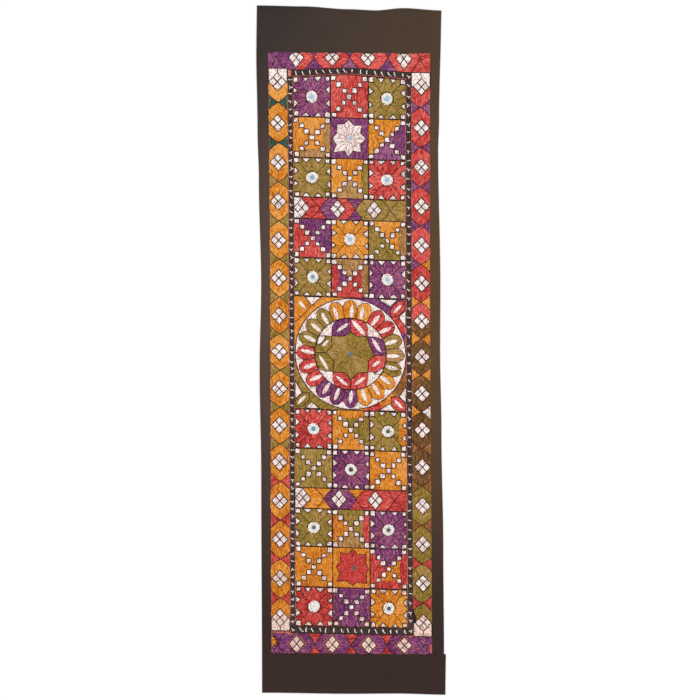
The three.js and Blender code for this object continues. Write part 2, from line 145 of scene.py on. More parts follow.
# Threads that show between the stitches of each colour: which, how often, how long and how wide
# The shade and dark flecks are painted shade. They stand for the needle gaps and holes between stitches,
# where the ground shows in shade.
FLECKS = {
    "purple": [("mauve", 0.24, 4.8, 1.2), ("pink", 0.14, 4.4, 1.0), ("dark", 0.05, 2.2, 1.0)],
    "orange": [("pink", 0.16, 3.0, 1.2), ("rust", 0.1, 3.0, 1.1), ("dark", 0.05, 1.7, 1.0)],
    "red": [("pink", 0.1, 4.0, 0.9), ("dark", 0.06, 1.7, 1.0)],
    "olive": [("pink", 0.12, 3.0, 1.1), ("rust", 0.07, 3.0, 1.1), ("dark", 0.04, 1.7, 1.0)],
    "tan": [("rust", 0.14, 3.0, 1.1)],
    "moss": [("pink", 0.12, 4.5, 1.0)],
    "rust": [("dark", 0.06, 1.7, 1.0)],
    "green": [("dark", 0.05, 2.0, 0.8)],
    "white": [("shade", 0.5, 4.4, 1.15)],
    "peach": [("shade", 0.5, 4.4, 1.15)],
}


def smooth(t):
    """A step from 0 to 1 that starts and ends level."""
    held = np.clip(t, 0, 1)
    return held * held * (3 - 2 * held)


def laid(points):
    """Where chart points lie on the finished cloth, in millimetres."""
    u, v = np.moveaxis(np.asarray(points, float), -1, 0)
    t = np.clip(v / HALF_LENGTH, -1, 1)
    end = t ** SLOPE_POWER
    slope = ROW_SLOPE * (1 - end) + END_SLOPE * end
    spread = 1 + SPREAD * t ** 2 + TOP_SPREAD * t ** 3
    up = smooth((v - ARCH["foot"]) / (ARCH["peak"] - ARCH["foot"]))
    down = smooth((HALF_LENGTH - v) / (HALF_LENGTH - ARCH["peak"]))
    arch = ARCH["rise"] * np.minimum(up, down) * (1 - smooth(np.abs(u) / ARCH["reach"]))
    return np.stack([PANEL_SHIFT_X - LEAN * v + u * spread, PANEL_SHIFT_Y + v + slope * u + arch], -1)


# Materials

def rgb(red, green, blue):
    """A colour as linear light from its screen values."""
    shares = [value / 255 for value in (red, green, blue)]
    return (*(s / 12.92 if s <= 0.04045 else ((s + 0.055) / 1.055) ** 2.4 for s in shares), 1.0)


class Graph:
    """A material's nodes, joined by name."""

    def __init__(self, name, roughness, **settings):
        self.material = bpy.data.materials.new(name)
        self.material.use_nodes = True
        self.tree = self.material.node_tree
        self.shader = self.tree.nodes["Principled BSDF"]
        self.shader.inputs["Roughness"].default_value = roughness
        for socket, value in settings.items():
            self.shader.inputs[socket.replace("_", " ")].default_value = value

    def node(self, kind, inputs, output=0, **settings):
        """The output of a new node, whose inputs are numbers or other nodes' outputs."""
        made = self.tree.nodes.new(kind)
        for name, value in settings.items():
            setattr(made, name, value)
        for name, value in inputs.items():
            if isinstance(value, bpy.types.NodeSocket):
                self.tree.links.new(value, made.inputs[name])
            else:
                made.inputs[name].default_value = value
        return made.outputs[output]

    def join(self, output, socket="Base Color"):
        self.tree.links.new(output, self.shader.inputs[socket])

    def place(self):
        return self.node("ShaderNodeTexCoord", {}, "Object")

    def tone(self):
        return self.node("ShaderNodeAttribute", {}, "Fac", attribute_name="tone")

    def noise(self, scale, detail=2.0, vector=None):
        inputs = {"Scale": scale, "Detail": detail, "Vector": vector or self.place()}
        return self.node("ShaderNodeTexNoise", inputs, "Fac")

    def ramp(self, factor, stops):
        """A colour that follows a factor, from rows that hold a place and screen values."""
        output = self.node("ShaderNodeValToRGB", {"Fac": factor}, "Color")
        elements = output.node.color_ramp.elements
        while len(elements) < len(stops):
            elements.new(0.5)
        for element, (place, *colour) in zip(elements, stops):
            element.position, element.color = place, rgb(*colour)
        return output

    def math(self, operation, *values):
        return self.node("ShaderNodeMath", dict(enumerate(values)), operation=operation)

    def share(self, value, low, high, kind="LINEAR"):
        """How far a value is from low to high, from 0 to 1."""
        return self.node("ShaderNodeMapRange", {"Value": value, "From Min": low, "From Max": high},
                         interpolation_type=kind)

    def mix(self, factor, a, b, blend="MIX"):
        return self.node("ShaderNodeMix", {0: factor, 6: a, 7: b}, 2, data_type="RGBA", blend_type=blend)

    def paint(self, base, shade):
        """Sets the base colour, made lighter and darker by a shade."""
        grey = self.node("ShaderNodeCombineColor", {"Red": shade, "Green": shade, "Blue": shade}, "Color")
        self.join(self.mix(1.0, base, grey, "MULTIPLY"))

    def weave(self, period, place=None):
        """Height of a plain weave, warp over weft."""
        inputs = {"Scale": 0.314 / (period * MM), "Distortion": 1.2, "Detail": 1.0, "Detail Scale": 2.0,
                  "Vector": place or self.place()}
        return self.math("ADD", *(self.node("ShaderNodeTexWave", inputs, "Fac", bands_direction=direction)
                                  for direction in ("X", "Y")))

    def bump(self, height, distance, strength=1.0):
        inputs = {"Height": height, "Distance": distance, "Strength": strength}
        self.join(self.node("ShaderNodeBump", inputs, "Normal"), "Normal")
        return self.material


# The tones of each thread, as places from dark to light with their screen colours
THREADS = {
    "orange": [(0.0, 184, 97, 10), (0.25, 216, 131, 18), (0.6, 230, 153, 50), (1.0, 240, 178, 100)],
    "red": [(0.0, 152, 38, 36), (0.3, 196, 58, 54), (0.65, 216, 84, 78), (1.0, 232, 122, 112)],
    "purple": [(0.0, 84, 32, 74), (0.35, 114, 50, 106), (0.7, 136, 69, 124), (1.0, 174, 112, 144)],
    "mauve": [(0.0, 120, 48, 96), (0.35, 148, 68, 112), (0.7, 172, 92, 126), (1.0, 198, 120, 136)],
    "olive": [(0.0, 116, 94, 28), (0.35, 146, 124, 44), (0.7, 166, 138, 66), (1.0, 192, 154, 102)],
    "tan": [(0.0, 138, 98, 50), (0.35, 170, 126, 70), (0.7, 188, 142, 88), (1.0, 212, 168, 122)],
    "moss": [(0.0, 78, 52, 20), (0.35, 108, 78, 32), (0.7, 122, 88, 42), (1.0, 160, 110, 62)],
    "rust": [(0.0, 108, 62, 22), (0.35, 144, 92, 40), (0.7, 164, 108, 54), (1.0, 198, 140, 84)],
    "green": [(0.0, 26, 60, 50), (0.35, 44, 82, 68), (0.7, 56, 94, 80), (1.0, 84, 118, 102)],
    "white": [(0.0, 212, 172, 166), (0.3, 250, 228, 222), (0.7, 255, 242, 237), (1.0, 255, 247, 243)],
    "peach": [(0.0, 214, 168, 152), (0.3, 243, 213, 200), (0.7, 250, 226, 214), (1.0, 253, 236, 226)],
    "cream": [(0.0, 222, 206, 192), (0.2, 250, 244, 236), (0.6, 255, 252, 246), (1.0, 255, 255, 252)],
    # shade is painted shade, not a thread of its own: the dark of the gaps between rows of stitches, where
    # the ground shows in shade, and of the white star's seams
    "shade": [(0.0, 62, 36, 38), (0.4, 112, 74, 74), (0.8, 164, 118, 114), (1.0, 196, 150, 144)],
    "pink": [(0.0, 180, 84, 62), (0.4, 206, 112, 84), (0.8, 218, 130, 104), (1.0, 228, 150, 128)],
    # dark is real dark thread in the outlines and hems; in the short flecks between stitches it is painted
    # shade for needle holes
    "dark": [(0.0, 30, 14, 14), (0.4, 44, 24, 22), (0.8, 60, 34, 30), (1.0, 92, 52, 46)],
}
GROUND_COLOURS = [(0.25, 150, 76, 62), (0.5, 188, 104, 88), (0.75, 210, 132, 114)]
TAPE_COLOURS = [(0.3, 50, 36, 34), (0.55, 76, 60, 56), (0.8, 106, 86, 80)]
FADED = {"middle": 0.1, "reach": 0.78}


def thread_material(colour):
    """Cotton thread, whose tone changes from stitch to stitch, with the twist of its plies."""
    graph = Graph(f"thread_{colour}", 0.7, Specular_IOR_Level=0.1, Sheen_Weight=0.04, Sheen_Roughness=0.5)
    fibre = graph.noise(1600.0, 3.0)
    graph.paint(graph.ramp(graph.tone(), THREADS[colour]), graph.math("MULTIPLY_ADD", fibre, 0.3, 0.88))
    return graph.bump(fibre, 0.0003, 0.6)


def cloth_material(name, roughness, sheen, scale, colours, period, relief):
    """Plain woven cloth, with patches of lighter and darker colour."""
    graph = Graph(name, roughness, Specular_IOR_Level=0.1, Sheen_Weight=sheen)
    graph.join(graph.ramp(graph.noise(scale, 3.0), colours))
    return graph.bump(graph.weave(period), relief)


def cotton_material():
    """Faded black cotton, lightest half way along and browner towards the right."""
    graph = Graph("black_cotton", 0.92, Specular_IOR_Level=0.06, Sheen_Weight=0.08, Sheen_Roughness=0.6)
    place = graph.place()
    parts = graph.node("ShaderNodeSeparateXYZ", {"Vector": place}).node.outputs
    away = graph.math("ABSOLUTE", graph.math("SUBTRACT", parts["Y"], FADED["middle"]))
    across = graph.share(parts["X"], -0.21, 0.21)
    upper = graph.share(parts["Y"], -0.5, -0.1)
    plain = graph.mix(upper, rgb(56, 39, 35), rgb(50, 43, 44))
    black = graph.mix(graph.math("MULTIPLY", across, upper), plain, rgb(80, 62, 46))
    faded = graph.mix(across, rgb(90, 72, 62), rgb(94, 70, 46))
    base = graph.mix(graph.share(away, 0.0, FADED["reach"], "SMOOTHSTEP"), faded, black)
    cloudy = graph.math("MULTIPLY_ADD", graph.noise(9.0, 4.0), 0.36, 0.82)
    threads = graph.node("ShaderNodeMapping", {"Vector": place, "Scale": (40.0, 900.0, 1.0)})
    slub = graph.math("MULTIPLY_ADD", graph.noise(1.0, 2.0, threads), 0.5, 0.75)
    graph.paint(base, graph.math("MULTIPLY", cloudy, slub))
    return graph.bump(graph.weave(0.7, place), 0.0002)


def mirror_material():
    """Old blown mirror glass: some bright, some tarnished dark, some blue, where the blue is a painted
    reflection.
    """
    graph = Graph("mirror_glass", 0.14, Metallic=1.0)
    # The pale stop is bright silver and the grey and brown stops are tarnish. The blue stops are a painted
    # reflection of a blue sky.
    base = graph.ramp(graph.tone(), [(0.0, 252, 248, 236), (0.18, 204, 210, 230), (0.35, 186, 216, 244),
                                     (0.55, 142, 168, 202), (0.75, 126, 122, 132), (1.0, 104, 88, 76)])
    clouds = graph.noise(420.0, 3.0)
    graph.paint(base, graph.math("MULTIPLY_ADD", clouds, 0.5, 0.75))
    return graph.bump(clouds, 0.0002, 0.4)


# Meshes

def piece_of(name, mesh_parts, material, tones=None):
    """A smooth-shaded piece from vertices in millimetres and triangles, with a tone for each vertex."""
    vertices, triangles = mesh_parts
    mesh = bpy.data.meshes.new(name)
    mesh.vertices.add(len(vertices))
    mesh.vertices.foreach_set("co", (np.asarray(vertices) * MM).ravel())
    mesh.loops.add(3 * len(triangles))
    mesh.loops.foreach_set("vertex_index", np.asarray(triangles).ravel())
    mesh.polygons.add(len(triangles))
    mesh.polygons.foreach_set("loop_start", np.arange(0, 3 * len(triangles), 3))
    mesh.polygons.foreach_set("use_smooth", np.ones(len(triangles), bool))
    mesh.update(calc_edges=True)
    if tones is not None:
        mesh.attributes.new("tone", "FLOAT", "POINT").data.foreach_set("value", np.asarray(tones, float))
    piece = bpy.data.objects.new(name, mesh)
    bpy.context.scene.collection.objects.link(piece)
    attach(piece, "root")
    mesh.materials.append(material)
    return piece


def lifted(plan, height):
    """Places on a plan as points at a height."""
    return np.concatenate([plan, np.broadcast_to(height, plan.shape[:-1])[..., None]], -1)


# From one three-cornered section of a strand to the next: left, top and right are 0 to 2, then 3 to 5
STRAND_SIDES = np.array([(0, 1, 4), (0, 4, 3), (2, 5, 4), (2, 4, 1), (0, 3, 5), (0, 5, 2)])
STRAND_TIPS = (np.array([(0, 2, 1), (0, 3, 2), (0, 1, 3)]), np.array([(3, 0, 1), (3, 1, 2), (3, 2, 0)]))


def strands(paths, widths, lows, highs):
    """Vertices and triangles of many strands: a point, three-cornered sections, and a point again.

    paths is (strands, points, 2) on the finished cloth. The others are (strands, points).
    """
    count, points = paths.shape[:2]
    course = np.gradient(paths, axis=1)
    course = course / np.maximum(np.linalg.norm(course, axis=2, keepdims=True), 1e-9)
    side = np.stack([-course[..., 1], course[..., 0]], -1) * widths[..., None] / 2
    corners = [lifted(paths + side, lows), lifted(paths, highs), lifted(paths - side, lows)]
    sections = np.stack(corners, 2)[:, 1:-1].reshape(count, -1, 3)
    tips = lifted(paths, lows)
    vertices = np.concatenate([tips[:, :1], sections, tips[:, -1:]], 1)
    faces = np.concatenate([STRAND_TIPS[0], *(STRAND_SIDES + 1 + 3 * s for s in range(points - 3)),
                            STRAND_TIPS[1] + 3 * points - 8])
    offsets = np.arange(count)[:, None, None] * vertices.shape[1]
    return vertices.reshape(-1, 3), (faces[None] + offsets).reshape(-1, 3)


def closed_sheet(plan, top, bottom):
    """Vertices and triangles of a sheet over a grid of places, from its top heights to a level bottom."""
    rows, columns = top.shape
    index = np.arange(rows * columns).reshape(rows, columns)

    def split(*corners):
        a, b, c, d = (np.ravel(corner) for corner in corners)
        return np.concatenate([np.stack([a, b, c], 1), np.stack([a, c, d], 1)])

    upper = split(index[:-1, :-1], index[1:, :-1], index[1:, 1:], index[:-1, 1:])
    lower = upper[:, ::-1] + rows * columns
    rim = np.concatenate([index[:-1, 0], index[-1, :-1], index[:0:-1, -1], index[0, :0:-1]])
    after = np.roll(rim, -1)
    wall = split(rim, rim + rows * columns, after + rows * columns, after)
    vertices = np.concatenate([lifted(plan, height).reshape(-1, 3) for height in (top, bottom)])
    triangles = np.concatenate([upper, lower, wall])
    corners = vertices[triangles]
    volume = np.einsum("ij,ij->i", corners[:, 0], np.cross(corners[:, 1], corners[:, 2])).sum()
    return vertices, triangles if volume > 0 else triangles[:, ::-1]


def stacked(rings, middle):
    """Vertices and triangles of a solid between rings of points, closed at both ends round a middle."""
    n = len(rings[0])
    here = np.arange(n)
    after = np.roll(here, -1)
    last = (len(rings) - 1) * n
    faces = [np.stack([after, here, np.full(n, last + n)], 1)]
    for k in range(0, last, n):
        faces += [np.stack([here, after, after + n], 1) + k, np.stack([here, after + n, here + n], 1) + k]
    faces.append(np.stack([here + last, after + last, np.full(n, last + n + 1)], 1))
    ends = [[*middle, ring[0, 2]] for ring in (rings[0], rings[-1])]
    return np.concatenate([*rings, ends]), np.concatenate(faces)


def together(solids):
    """Many solids' vertices and triangles as one mesh's."""
    firsts = np.cumsum([0] + [len(vertices) for vertices, _ in solids])
    return (np.concatenate([vertices for vertices, _ in solids]),
            np.concatenate([triangles + first for (_, triangles), first in zip(solids, firsts)]))


# Camera: straight above, as the photograph was taken
VIEW_WIDTH = 1.5519
VIEW_CENTRE = (-0.0022, 0.0)
CAMERA_HEIGHT = 6.0
camera = bpy.data.objects.new("camera", bpy.data.cameras.new("camera"))
bpy.context.scene.collection.objects.link(camera)
camera.data.type = "ORTHO"
camera.data.ortho_scale = VIEW_WIDTH
camera.location = (*VIEW_CENTRE, CAMERA_HEIGHT)
bpy.context.scene.camera = camera


# Chart: fields of stitches, raised patches and lines of thread, in the order in which they cover each other

fields = []
lines = []
mirrors = []
stitches = {}


def field(points, colour, angle=90, tone=0.0, top=STITCH_TOP):
    """A field of thread, stitched at an angle from the u axis."""
    points = np.clip(np.array(points, float), -PANEL_EDGE, PANEL_EDGE)
    fields.append({"points": points, "colour": colour, "angle": angle, "tone": tone, "top": top})


def line(points, closed=False, colour="dark", width=LINE_WIDTH, top=LINE_TOP):
    """A line of back stitches."""
    # Points past the panel's edge are clamped to it, so some outlines run along the edge as a dark line.
    # That line is partly outline and partly painted shadow of the cotton's edge.
    points = np.clip(np.array(points, float), -PANEL_EDGE, PANEL_EDGE)
    if closed:
        points = np.concatenate([points, points[:1]])
    lines.append({"points": points, "colour": colour, "width": width, "top": top})


def patch(points, colour="white", angle=90, outlined=True, tone=0.0):
    """A raised patch of thread, which may have a dark line round it."""
    field(points, colour, angle, tone, PATCH_TOP)
    if outlined:
        line(points, closed=True, width=PATCH_LINE_WIDTH, top=PATCH_LINE_TOP)


def white(points, angle=90, outlined=True):
    """A raised white patch, which may be peach low on the runner."""
    height = np.mean(np.array(points, float)[:, 1])
    share = 1.0 if height < PEACH["all"] else PEACH["share"] if height < PEACH["some"] else 0
    patch(points, "peach" if rng.random() < share else "white", angle, outlined)


def drift(places):
    """Slow changes of tone over the cloth, about -1 to 1."""
    u, v = places[..., 0], places[..., 1]
    return 0.5 * np.sin(u / 9.1 + 2 * np.sin(v / 31)) * np.cos(v / 11.3) + 0.5 * np.sin(v / 23.7 - u / 17.9)


def put_away(rows, thread, paths, width, low, high, tone):
    """Keeps strands, by their thread, until its mesh is made."""
    shape = paths.shape[:2]
    sizes = [np.broadcast_to(value, shape) for value in (width, low, high)]
    rows.setdefault(thread, []).append([paths, *sizes, np.broadcast_to(tone, shape[0])])


def keep(colour, starts, ends, width, low, high, tone):
    """Straight stitches between chart points, tapered at both ends."""
    starts, ends = laid(starts), laid(ends)
    run = ends - starts
    taper = np.minimum(0.3, STITCH_TAPER / np.maximum(np.linalg.norm(run, axis=1, keepdims=True), 0.1)) * run
    paths = np.stack([starts, starts + taper, ends - taper, ends], 1)
    put_away(stitches, colour, paths, width, low, np.reshape(high, (-1, 1)), tone)


def stretches(shape, columns):
    """For each column, the stretches of it that lie inside a closed outline."""
    x0, y0 = shape[:, 0], shape[:, 1]
    x1, y1 = np.roll(x0, -1), np.roll(y0, -1)
    hit = (x0 <= columns[:, None]) != (x1 <= columns[:, None])
    run = np.where(x1 == x0, 1, x1 - x0)
    y = np.where(hit, y0 + (columns[:, None] - x0) / run * (y1 - y0), np.inf)
    y.sort(axis=1)
    return [[(row[k], row[k + 1]) for k in range(0, count, 2)] for row, count in zip(y, hit.sum(axis=1))]


def without(spans, cuts):
    """What is left of some stretches once others are taken away."""
    for low, high in cuts:
        left = []
        for start, end in spans:
            if high <= start or low >= end:
                left.append((start, end))
                continue
            left += [(a, b) for a, b in ((start, low), (high, end)) if a < b]
        spans = left
    return spans


def flecks(shape, starts, ends, across, pitch):
    """Short stitches of other threads, which show between a field's own; the shade and dark ones are painted
    shade for the gaps and needle holes between stitches.
    """
    height = shape["points"][:, 1].mean() / HALF_LENGTH
    for colour, share, length, width in FLECKS.get(shape["colour"], []):
        wanted = share if colour == "shade" else share * (1 - 0.6 * height)
        picked = rng.random(len(starts)) < wanted
        if not picked.any():
            continue
        run = ends[picked] - starts[picked]
        whole = np.linalg.norm(run, axis=1, keepdims=True)
        part = np.minimum(length * rng.uniform(0.7, 1.3, (len(run), 1)), 0.8 * whole)
        slide = (whole - part) * rng.random((len(run), 1))
        first = starts[picked] + run / whole * slide + across * pitch / 2
        high = shape["top"] + FLECK_RISE + rng.normal(0, 0.03, len(run))
        keep(colour, first, first + run / whole * part, width * rng.uniform(*LINE_WIDTHS, (len(run), 1)),
             shape["top"] - FLECK_RISE, high, rng.random(len(run)))


def bricks(numbers, columns, spans, length):
    """Stitches along columns, each column's joints half a stitch off the last one's."""
    runs = []
    for number, x, column in zip(numbers, columns, spans):
        phase = 0.5 * (number % 2) + BRICK_WANDER * math.sin(number * BRICK_TURN)
        for low, high in column:
            if high - low < SHORTEST_STITCH:
                continue
            first = math.floor(low / length - phase)
            joints = (np.arange(first, high / length - phase + 1) + phase) * length
            joints = joints[(joints > low + 2 * SHORTEST_STITCH) & (joints < high - 2 * SHORTEST_STITCH)]
            ends = [low, *(joints + rng.normal(0, JOINT_SPREAD, len(joints))), high]
            runs += [(x, a - STITCH_OVERLAP, b + STITCH_OVERLAP) for a, b in zip(ends[:-1], ends[1:])]
    return runs


def sew_field(shape, covers):
    """Fills a field with stitches laid like bricks, leaving out what later fields cover."""
    raised = shape["top"] > STITCH_TOP
    pitch, length = (PATCH_PITCH, PATCH_STITCH) if raised else (FIELD_PITCH, FIELD_STITCH)
    angle = math.radians(shape["angle"])
    along = np.array([math.cos(angle), math.sin(angle)])
    across = np.array([along[1], -along[0]])
    axes = np.stack([across, along], 1)
    turned = shape["points"] @ axes
    numbers = np.arange(*(math.ceil(x / pitch - 0.5) for x in (turned[:, 0].min(), turned[:, 0].max())))
    columns = (numbers + 0.5) * pitch
    if not len(columns):
        return
    spans = stretches(turned, columns)
    for cover in covers:
        for k, cuts in enumerate(stretches(cover["points"] @ axes, columns)):
            if cuts:
                spans[k] = without(spans[k], cuts)
    runs = bricks(numbers, columns, spans, length)
    if not runs:
        return
    x, a, b = np.array(runs).T
    shift = rng.normal(0, SIDE_SPREAD, (2, len(x), 1))
    starts = (x[:, None] + shift[0]) * across + a[:, None] * along
    ends = (x[:, None] + shift[1]) * across + b[:, None] * along
    foot = PAD_TOP - 0.1 if raised else STITCH_FOOT
    high = shape["top"] + rng.normal(0, HEIGHT_SPREAD, len(x))
    middle = (starts + ends) / 2
    tone = shape["tone"] + 0.5 + DRIFT_SHARE * drift(middle) + FADE * middle[:, 1] / HALF_LENGTH
    tone = tone + rng.normal(0, TONE_SPREAD * (RAISED_SHARE if raised else 1), len(x))
    width = pitch * COVER * rng.uniform(*FIELD_WIDTHS, (len(x), 1))
    keep(shape["colour"], starts, ends, width, foot, high, np.clip(tone, 0, 1))
    flecks(shape, starts, ends, across, pitch)


def sew_line(row):
    """Back stitches along a line, each about as long as the last."""
    places = []
    for a, b in zip(row["points"][:-1], row["points"][1:]):
        count = max(1, round(np.linalg.norm(b - a) / LINE_STITCH))
        places.append(a + (b - a) * np.linspace(0, 1, count + 1)[:, None])
    starts = np.concatenate([part[:-1] for part in places])
    ends = np.concatenate([part[1:] for part in places])
    run = ends - starts
    overlap = LINE_OVERLAP * run / np.maximum(np.linalg.norm(run, axis=1, keepdims=True), 0.1)
    starts = starts - overlap + rng.normal(0, LINE_SPREAD, starts.shape)
    ends = ends + overlap + rng.normal(0, LINE_SPREAD, ends.shape)
    high = row["top"] + rng.normal(0, HEIGHT_SPREAD, len(starts))
    width = row["width"] * rng.uniform(*LINE_WIDTHS, (len(starts), 1))
    keep(row["colour"], starts, ends, width, row["top"] - LINE_HEIGHT, high, rng.uniform(0, 1, len(starts)))


# Shapes in the chart

def uneven(points, amount=0.5):
    """The same points, as unevenly as a hand stitches them."""
    return np.array(points, float) + rng.uniform(-amount, amount, (len(points), 2))


def polar(centre, degrees, radius):
    """A point by its angle from straight up, clockwise, and its distance from a centre."""
    angle = math.radians(degrees)
    return [centre[0] + radius * math.sin(angle), centre[1] + radius * math.cos(angle)]


def arc(centre, start, end, radius, count):
    """Points along part of a circle."""
    return [polar(centre, degrees, radius) for degrees in np.linspace(start, end, count)]


def lens(start, end, width, full=0.6, count=5):
    """A leaf between two points, with curved sides."""
    start, end = np.array(start, float), np.array(end, float)
    axis = end - start
    side = np.array([-axis[1], axis[0]]) / np.linalg.norm(axis) * width / 2
    shares = np.linspace(0, 1, count + 2)[1:-1]
    right, left = ([start + axis * t + turn * side * np.sin(np.pi * t) ** full for t in shares]
                   for turn in (-1, 1))
    return [start, *right, end, *left[::-1]]


def heading(start, end):
    """The angle of a line from the u axis, in degrees."""
    return math.degrees(math.atan2(end[1] - start[1], end[0] - start[0]))


BLOCK_CORNERS = [(-1, -1), (1, -1), (1, 1), (-1, 1)]
SIDES = {
    "top": ((-1, 1), (1, 1), 90),
    "right": ((1, 1), (1, -1), 0),
    "bottom": ((1, -1), (-1, -1), 90),
    "left": ((-1, -1), (-1, 1), 0),
}


class Block:
    """A block of the field, whose corners are at plus and minus one."""

    def __init__(self, u, v, width, height):
        self.centre = (u, v)
        self.half = (width / 2, height / 2)

    def at(self, x, y, inset=0.0):
        half_u, half_v = self.half[0] - inset, self.half[1] - inset
        return [self.centre[0] + x * half_u, self.centre[1] + y * half_v]

    def shape(self, corners, inset=0.0):
        return [self.at(x, y, inset) for x, y in corners]

    def field(self, corners, colour, angle=90, tone=0.0):
        field(self.shape(corners, GROOVE / 2), colour, angle, tone)


def quarters(block, colours, radial):
    """The four fields of a block, each with an inner and an outer colour."""
    for name, (first, second, angle) in SIDES.items():
        inner, outer = colours[name]
        tone = rng.uniform(-0.18, 0.18)
        turn = angle if radial else 90
        near = [(x * INNER_SHARE, y * INNER_SHARE) for x, y in (first, second)]
        if inner == outer:
            block.field([(0, 0), first, second], outer, turn, tone)
            continue
        block.field([near[0], first, second, near[1]], outer, turn, tone)
        block.field([(0, 0), *near], inner, turn, tone)


def square(place):
    """A small raised white square."""
    turn = rng.uniform(-7, 7)
    half = SQUARE_SIDE / math.sqrt(2) * rng.uniform(0.88, 1.08)
    middle = uneven([place], 0.7)[0]
    corners = [polar(middle, corner + turn, half) for corner in (225, 135, 45, -45)]
    white(uneven(corners, 1.0), 90 + turn)


def corner_squares(block, ring):
    """White squares on a block's diagonals: ring 0 is its middle, and the last ring its corners."""
    share = ring / SQUARES_TO_CORNER
    for x, y in BLOCK_CORNERS if ring else [(0, 0)]:
        square(block.at(x * share, y * share, PATCH_INSET + SQUARE_SIDE / 2))


def cross_block(block, colours):
    quarters(block, colours, radial=False)
    for ring in range(SQUARES_TO_CORNER + 1):
        corner_squares(block, ring)


def flower_block(block, colours):
    """Four petals round a ringed mirror, with white triangles pointing in from each side."""
    quarters(block, colours, radial=True)
    for x, y in BLOCK_CORNERS:
        start = [middle + step * RING_RADIUS * 0.7 for middle, step in zip(block.centre, (x, y))]
        line([start, block.at(x, y, SQUARE_SIDE)], width=THIN_LINE)
    if colours["top"][1] == "purple":
        veins(block)
    corner_squares(block, SQUARES_TO_CORNER)
    for side in (-1, 1):
        for place in (-TRIANGLE["place"], TRIANGLE["place"]):
            for upright in (True, False):
                half_base = TRIANGLE["base"] / 2 * rng.uniform(0.78, 1.25)
                height = TRIANGLE["height"] * rng.uniform(0.85, 1.2)
                corners = [(-half_base, 0), (half_base, 0), (0, -side * height)]
                u, v = block.at(*((place, side) if upright else (side, place)), PATCH_INSET)
                points = [(u + a, v + b) if upright else (u + b, v + a) for a, b in corners]
                white(uneven(points), 90 if upright else 0)
    start = rng.uniform(0, 360)
    for turn in (start, start + rng.uniform(150, 210)):
        rim = arc(block.centre, turn, turn + rng.uniform(60, 140), RING_RADIUS + 1, 8)
        line(uneven(rim, 0.4), width=PATCH_LINE_WIDTH)
    mirrors.append({"centre": block.centre, "ring": RING_RADIUS, "thread": "cream"})


def veins(block):
    """Thin curved seams of pink thread in the petals."""
    for side in (0, 90, 180, 270):
        for turn in VEINS["turns"]:
            if rng.random() < 0.2:
                continue
            turn += rng.normal(0, 3)
            points = [polar(block.centre, side + turn * spread, reach + rng.normal(0, 1.5))
                      for reach, spread in zip(VEINS["reach"], VEINS["spread"])]
            line(points, colour="pink" if rng.random() < 0.55 else "mauve", width=rng.uniform(1.0, 1.6),
                 top=STITCH_TOP + SEAM_RISE)


def star_block(block, colours):
    """An eight-pointed star round a mirror."""
    block.field(BLOCK_CORNERS, colours["ground"])
    whole = np.array(block.shape(colours["outline"]))
    centre = np.array(block.at(*colours["mirror"]))
    for i in range(0, len(whole), 2):
        last, tip, following = whole[i - 1], whole[i], whole[i + 1]
        patch([centre, last, tip, following], colours["star"], heading(centre, tip), outlined=False,
              tone=colours["tone"] + rng.uniform(-0.07, 0.07))
        # Seams in the shade colour are painted shade along the real seams between the star's points.
        if colours["seam"]:
            for end in (following, centre + 0.8 * (tip - centre)):
                line([centre, end], colour=colours["seam"], width=1.2, top=PATCH_TOP + SEAM_RISE)
    line(whole, closed=True, top=PATCH_LINE_TOP)
    mirrors.append({"centre": centre, "ring": colours["ring"], "thread": colours["star"]})


def lie(place):
    """The angle at which a strip runs through the chart."""
    return heading(place(0, 0), place(1, 0))


def white_end(place, unit, end, s, half, size):
    """The white half of a unit at a strip's end, parted by a line from the diamond's tip."""
    low, high = place(s, -half[-1]), place(s, half[1])
    foot, head = place(unit["at"], -half[-1]), place(unit["at"], half[1])
    white([low, high, head, foot], lie(place) + 32 * end, outlined=False)
    w, a = unit["across"], size["across"]
    tip = unit["at"] + end * size["along"]
    for edge in ([place(unit["at"], w - a), foot, low, high, head, place(unit["at"], w + a)],
                 [place(s, 0), place(tip, w)]):
        line(edge, width=PATCH_LINE_WIDTH, top=PATCH_LINE_TOP)


def half_unit(place, unit, end, colour, s, half, reach):
    """The half of a barrel-sided unit before or after its diamond."""
    shoulders = []
    for side in (-1, 1):
        w = side * half[side]
        k = rng.uniform(*SHOULDER[reach]) * half[side]
        elbow = place(s - end * (0.5 - BARREL) * k, w * (0.5 + BARREL))
        shoulders.append([place(s, 0), elbow, place(s - end * k, w)])
    points = [*shoulders[0], place(unit["at"], -half[-1]), place(unit["at"], half[1]), *shoulders[1][:0:-1]]
    tone = rng.uniform(-0.15, 0.15)
    field(points, colour, lie(place) + rng.uniform(-7, 7), tone)
    for shoulder in shoulders:
        line(uneven(shoulder, 0.4))


